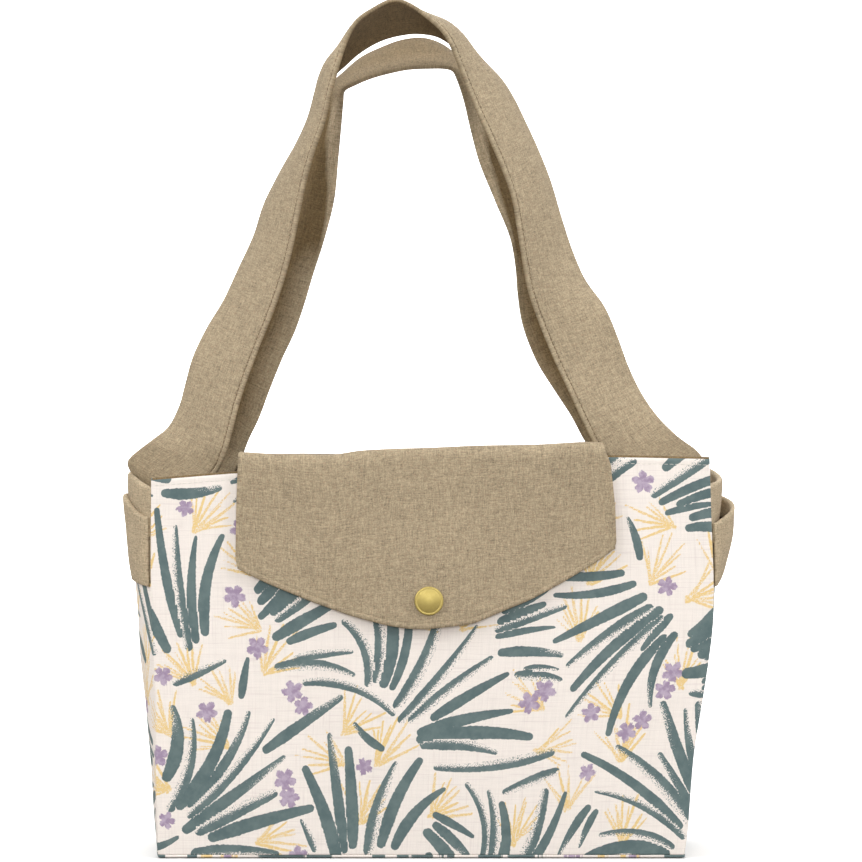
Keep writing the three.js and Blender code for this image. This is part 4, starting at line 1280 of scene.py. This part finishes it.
# x, then height of the lower edge
flap_bottom = soft([(-105, 159.5), (-101.1, 157.2), (-88.7, 151.2), (-64.9, 141.5),
                    (-43.8, 133.9), (-25.4, 129), (-13, 126.8), (-3, 126.6), (5.4, 127.4),
                    (23.2, 129.5), (33, 133.9), (54.1, 142.5), (70.3, 151.2), (86.5, 160.9),
                    (97.3, 168), (100, 170.5)], 3)
SEAM_OUT = 1.6   # mid surface of the flap out from the back wall


def crest(x):
    return crest_top(x) - 1.3


def drop_left(z):
    return np.interp(z, [157, 162.6, 190.7, 221], [-103.6, -104.9, -104.4, -103.3])


def drop_right(z):
    return np.interp(z, [168, 171.2, 192.3, 215.6, 226.5], [98.6, 99.5, 98.7, 96.2, 92.5])


def off_wall(facing, z, out):
    return lambda x: wall_y(facing, x, z) + out


def over_back(rise):
    return lambda x: back_top(x) + rise


def under_crest(drop):
    return lambda x: crest(x) - drop


def to_crest(share):
    return lambda x: lerp(216.4, crest(x), share)


# rows from the back seam over the mouth: left x, right x, y, z
FLAP_ROWS = [
    (-104, 95, off_wall(1, 195.0, SEAM_OUT), 195.0),
    (-104, 95, off_wall(1, 203.0, SEAM_OUT), 203.0),
    (-104, 95, off_wall(1, 208.0, 1.65), over_back(-2.4)),
    (-104, 95, off_wall(1, 208.0, 1.2), over_back(0.6)),
    (-103.5, 94.5, 38.6, over_back(2.6)),
    (-102, 93, 34.0, over_back(3.2)),
    (-99, 89, 24.0, over_back(3.0)),
    (-97, 86, 12.0, 215.6),
    (-96, 84, 0.0, 215.2),
    (-96, 84, -12.0, 215.8),
    (-97.5, 85.5, -22.0, to_crest(0.3)),
    (-100, 88, -30.0, to_crest(0.72)),
    (-102.6, 91.5, -36.0, under_crest(0.3)),
]
TOP_ROWS = len(FLAP_ROWS)
# rows over the crest: y, drop below it
for y, drop in ((-39.6, 0.0), (off_wall(-1, 214.0, -2.0), 1.6), (off_wall(-1, 214.0, -3.0), 5.0)):
    FLAP_ROWS.append((drop_left(221 - drop), drop_right(226.5 - drop), y, under_crest(drop)))


def flap_grid(over):
    """control rows of the whole flap, from the back seam to the lower front edge"""
    def at(value, x):
        return value(x) if callable(value) else value

    rows = []
    for left, right, y, z in FLAP_ROWS:
        x = lerp(left, right, over)
        rows.append(grid(x, at(y, x), at(z, x)))
    for w in np.arange(1, 25) / 24.0:
        x = lerp(drop_left(lerp(216, 158.5, w)), drop_right(lerp(221, 169, w)), over)
        z = lerp(crest(x) - 5, flap_bottom(x), w)
        standoff = 3.0 + 1.6 * np.exp(-((x - SNAP_X) ** 2 + (z - SNAP_Z) ** 2) / 1600)
        rows.append(grid(x, wall_y(-1, x, z) - standoff, z))
    return np.array(rows)


flap_over = edge_dense(202.0, 1.3)
flap_control = flap_grid(flap_over)
flap_mid = flap_control[:, len(flap_over) // 2]
flap_at = path_length(flap_mid)
# length at which the top passes mid depth
half_way = float(np.interp(0.0, -flap_mid[:TOP_ROWS, 1], flap_at[:TOP_ROWS]))


def flap_part(name, start, end, is_front):
    near = np.array((0,) + EDGE_STEPS)
    along = np.linspace(start, end, max(8, int((end - start) / (1.25 * COARSEN))))
    if is_front:
        along = np.concatenate([along[along < end - 4.8], end - near[::-1]])
    else:
        along = np.concatenate([start + near, along[along > start + 4.8]])
    points = spline(flap_control, along, flap_at).transpose(1, 0, 2)   # across, rows
    x, y, z = points[..., 0], points[..., 1], points[..., 2]
    u = (flap_over * FLAP_W)[:, None]
    steps = np.linalg.norm(np.diff(points, axis=1), axis=2)
    v = np.concatenate([np.zeros((len(flap_over), 1)), np.cumsum(steps, axis=1)], 1) + start
    if is_front:
        # distance to the curved lower edge
        edge_x = np.linspace(-104, 99, 400)
        slope = np.interp(x, edge_x, np.gradient(flap_bottom(edge_x), 203 / 399.0))
        from_end = (z - flap_bottom(x)) / np.sqrt(1 + slope**2)
        from_end = np.where(y < -38, np.maximum(from_end, 0), 99)
    else:
        from_end = (along - start)[None, :]
    from_edge = np.minimum(np.minimum(u, FLAP_W - u), from_end)
    thickness = 2.35 - 0.34 * dip(from_edge - 2.0, 0.45) + 0.18 * dip(from_edge - 0.8, 0.7)
    disp = waves(u, v, 0.30, 70.0, 61) * np.clip(from_edge / 12, 0, 1)
    if is_front:
        # flat and pressed in round the snap
        from_snap = np.hypot(x - SNAP_X, z - SNAP_Z)
        disp = disp * np.clip((from_snap - 6) / 22, 0, 1) - 0.30 * dip(from_snap, 10.0)
        disp = disp * np.where(y < -30, 1.0, 0.2)
    # a little painted shade on the flap's inner face
    return sheet(name, points, thickness, [LINEN, LINEN], x - FLAP_LEFT, v, disp=disp, flip=-1,
                 shade=(0.0, 0.12))[0]


flap_back = flap_part("flap_back_cloth", 0.0, half_way, False)
flap_front = flap_part("flap_front_cloth", half_way, flap_at[-1], True)
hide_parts("flap_seam", "flap_top", "flap_top_lining")
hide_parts("flap_drop", "flap_drop_lining")
blends += [
    (flap_back, "bag", "flap_top", (0, 0.043, 0.205), (0, 0.038, 0.217), "linen"),
    (flap_front, "flap_top", "flap_drop", (0, -0.033, 0.2255), (0, -0.0455, 0.2145), "linen"),
]
# two rows of stitching hold the flap on the back wall
for k, z in enumerate((197.5, 206.0)):
    x = np.linspace(-102, 93, 200)
    line = grid(x, wall_y(1, x, z) + SEAM_OUT + 1.12, z)
    ob = stitches(f"flap_seam_stitching_{k + 1}", line, grid(0 * x, 1.0, 0.0), THREAD_LINEN)
    pieces.append((ob, "bag", "linen"))

# ------------------------------------------------------------------ snap fastener
# name, part replaced, body, segments, then radius and distance out from the front wall
SNAP_PARTS = (
    ("cap_brass", "snap_cap", "flap_drop", 96, (
        (0, 2.75), (1.7, 2.75), (1.7, 6.1), (6.9, 6.1), (7.45, 6.15), (7.72, 6.3), (7.8, 6.55),
        (7.78, 6.8), (7.66, 7.02), (7.42, 7.2), (7.1, 7.3), (6.85, 7.3), (6.66, 7.22),
        (6.5, 7.22), (6.1, 7.45), (5.4, 7.74), (4.5, 8.06), (3.5, 8.33), (2.5, 8.55),
        (1.6, 8.69), (0.8, 8.77), (0, 8.8))),
    ("socket_brass", "snap_socket", "flap_drop", 64, (
        (3.1, 1.1), (4.9, 1.1), (5.2, 1.16), (5.5, 1.4), (5.6, 1.7), (5.6, 3.0), (5.45, 3.15),
        (2.15, 3.15), (2.0, 3.0), (2.0, 2.75), (2.15, 2.6), (3.0, 2.6), (3.1, 2.5),
        (3.1, 1.1))),
    ("stud_brass", "snap_stud", "bag", 64, (
        (0, -4.1), (1.8, -4.1), (1.8, 0.3), (5.0, 0.3), (5.2, 0.42), (5.2, 0.7), (5.05, 0.8),
        (2.1, 0.8), (1.9, 1.0), (1.95, 1.25), (2.4, 1.45), (2.6, 1.75), (2.5, 2.05),
        (2.15, 2.28), (0, 2.3))),
    ("washer_brass", "snap_post_washer", "bag", 64, (
        (2.1, -3.6), (5.1, -3.6), (5.2, -3.5), (5.2, -3.1), (5.1, -3.0), (2.1, -3.0),
        (2.1, -3.6))),
)
for name, replaced, body, segments, profile in SNAP_PARTS:
    ob = lathe(name, profile, BRASS, segments)
    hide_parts(replaced)
    pieces.append((ob, body, "brass"))

for ob, body, slot in pieces:
    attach(ob, body)
for ob, first, second, start, end, slot in blends:
    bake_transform(ob)

# ------------------------------------------------------------------ stage, in metres
SWEEP_HALF_W, FLOOR_FRONT, FLOOR_BACK, BEND_RADIUS, SWEEP_TOP = 6.0, -4.0, 2.2, 1.2, 4.5
FLOOR_GAP = 0.0004          # floor below the bag
PAPER_WHITE = 0.93
PAPER_GLOW = 0.42           # what the paper gives off to the camera by the bag


def stage_paper():
    """pale to the camera, but throws little light back up"""
    mat = bpy.data.materials.new("stage_paper")
    mat.use_nodes = True
    tree = mat.node_tree
    bsdf = tree.nodes["Principled BSDF"]
    white = (PAPER_WHITE,) * 3
    for key, value in (("Base Color", white), ("Roughness", 0.9), ("Specular IOR Level", 0.1)):
        feed(tree, bsdf.inputs[key], value)
    to_camera = add_node(tree, "LightPath", {}).outputs["Is Camera Ray"]
    color = add_node(tree, "Mix", {6: (0.30, 0.28, 0.26), 7: white, "Factor": to_camera},
                     data_type="RGBA")
    feed(tree, bsdf.inputs["Base Color"], color.outputs[2])
    bsdf.inputs["Emission Color"].default_value = (1, 1, 1, 1)
    glow = add_node(tree, "Math", {0: to_camera, 1: PAPER_GLOW}, operation="MULTIPLY")

    def vector_math(operation, output="Vector", **inputs):
        sockets = dict(enumerate(inputs.values()))
        return add_node(tree, "VectorMath", sockets, operation=operation).outputs[output]

    def smooth_range(value, low, high, start, end):
        return add_node(tree, "MapRange", {"Value": value, "From Min": low, "From Max": high,
                                           "To Min": start, "To Max": end},
                        interpolation_type="SMOOTHSTEP").outputs["Result"]

    # far from the bag the glow rises to the white of the backdrop, so no horizon shows
    place = add_node(tree, "NewGeometry", {}).outputs["Position"]
    rise = smooth_range(vector_math("LENGTH", "Value", a=place),
                        low=0.35, high=1.3, start=PAPER_GLOW, end=1.0)
    # right round the bag it falls, so the bag's own soft shadow shows
    outside = vector_math("ABSOLUTE", a=place)
    outside = vector_math("SUBTRACT", a=outside, b=(0.150, 0.038, 9.0))   # half the footprint
    outside = vector_math("MAXIMUM", a=outside, b=(0, 0, 0))
    near = smooth_range(vector_math("LENGTH", "Value", a=outside),
                        low=0.0, high=0.16, start=0.10, end=1.0)
    both = add_node(tree, "Math", {0: rise, 1: near}, operation="MULTIPLY")
    feed(tree, glow.inputs[1], both.outputs[0])
    feed(tree, bsdf.inputs["Emission Strength"], glow.outputs[0])
    return mat


def sweep():
    """floor that turns up into a backdrop"""
    profile = [(FLOOR_FRONT, 0.0), (FLOOR_BACK, 0.0)]
    profile += [(FLOOR_BACK + BEND_RADIUS * math.sin(a), BEND_RADIUS - BEND_RADIUS * math.cos(a))
                for a in np.linspace(0.1, pi / 2, 14)]
    profile += [(FLOOR_BACK + BEND_RADIUS, SWEEP_TOP)]
    verts = [(x, y, z - FLOOR_GAP) for x in (-SWEEP_HALF_W, SWEEP_HALF_W) for y, z in profile]
    n = len(profile)
    faces = [(n + k, n + k + 1, k + 1, k) for k in range(n - 1)]
    mesh = bpy.data.meshes.new("sweep")
    mesh.from_pydata(verts, [], faces)
    mesh.polygons.foreach_set("use_smooth", [True] * len(faces))
    ob = bpy.data.objects.new("sweep", mesh)
    scene.collection.objects.link(ob)
    mesh.materials.append(stage_paper())
    return ob


def aim(ob, place, target):
    ob.location = place
    ob.rotation_euler = (Vector(target) - Vector(place)).to_track_quat("-Z", "Y").to_euler()
    scene.collection.objects.link(ob)


def area(name, place, target, size, watts, tint=(1, 1, 1)):
    light = bpy.data.lights.new(name, "AREA")
    light.shape = "RECTANGLE"
    light.size, light.size_y = size
    light.energy = watts
    light.color = tint
    ob = bpy.data.objects.new(name, light)
    aim(ob, place, target)
    return ob


def sky(azimuth, elevation, dist):
    """place round the bag; azimuth 0 is in front and + is to the right, in degrees"""
    a, e = math.radians(azimuth), math.radians(elevation)
    return (dist * math.sin(a) * math.cos(e), -dist * math.cos(a) * math.cos(e),
            0.22 + dist * math.sin(e))


floor = sweep()
MIDDLE, LOWER = (0, 0, 0.22), (0, 0, 0.2)   # what the lights are aimed at
# name, place, target, size, watts, tint
LIGHTS = (
    ("key", sky(-56, 34, 2.7), MIDDLE, (1.3, 1.3), 32, (1.0, 0.985, 0.965)),
    ("side", sky(62, 30, 2.7), MIDDLE, (1.3, 1.3), 32, (1.0, 0.99, 0.98)),
    ("front", sky(0, 12, 3.0), MIDDLE, (1.2, 0.8), 30),
    ("left_fill", sky(-92, 12, 2.7), LOWER, (1.0, 1.0), 10),
    ("right_fill", sky(92, 12, 2.7), LOWER, (1.0, 1.0), 10),
    ("rear", sky(180, 26, 2.7), LOWER, (1.3, 1.0), 26),
    ("top", (0.0, -0.3, 2.7), LOWER, (1.8, 1.4), 17),
    ("back_wash", (0, 1.6, 3.2), (0, 3.4, 1.3), (3.5, 1.0), 90),
)
[area(*row) for row in LIGHTS]


def make_world():
    """white to the camera; as a light, dim below and brighter above"""
    world = bpy.data.worlds.new("world")
    scene.world = world
    world.use_nodes = True
    tree = world.node_tree
    background = tree.nodes["Background"]
    coords = add_node(tree, "TexCoord", {})
    split = add_node(tree, "SeparateXYZ", {0: coords.outputs["Generated"]})
    fade = add_node(tree, "MapRange", {"Value": split.outputs[2], "From Min": -0.25,
                                       "From Max": 0.9, "To Min": 0.10, "To Max": 0.36})
    path = add_node(tree, "LightPath", {})
    strength = add_node(tree, "Mix", {"Factor": path.outputs["Is Camera Ray"],
                                      2: fade.outputs[0], 3: 1.0})
    feed(tree, background.inputs[1], strength.outputs[0])
    background.inputs[0].default_value = (1, 1, 1, 1)


make_world()
scene.view_settings.view_transform = "Standard"

CAMERA_DIST, CAMERA_RISE = 2.6, math.radians(3.0)
CAMERA_TARGET = Vector((0, 0, 0.23065))
VIEW_W = 0.4741        # width seen at the target
SENSOR_W = 36.0        # mm
camera_data = bpy.data.cameras.new("camera")
camera_data.sensor_width = SENSOR_W
camera_data.lens = SENSOR_W * CAMERA_DIST / VIEW_W
camera_data.clip_start, camera_data.clip_end = 0.1, 20
camera = bpy.data.objects.new("camera", camera_data)
toward = Vector((0, -math.cos(CAMERA_RISE), math.sin(CAMERA_RISE)))
aim(camera, CAMERA_TARGET + CAMERA_DIST * toward, CAMERA_TARGET)
scene.camera = camera
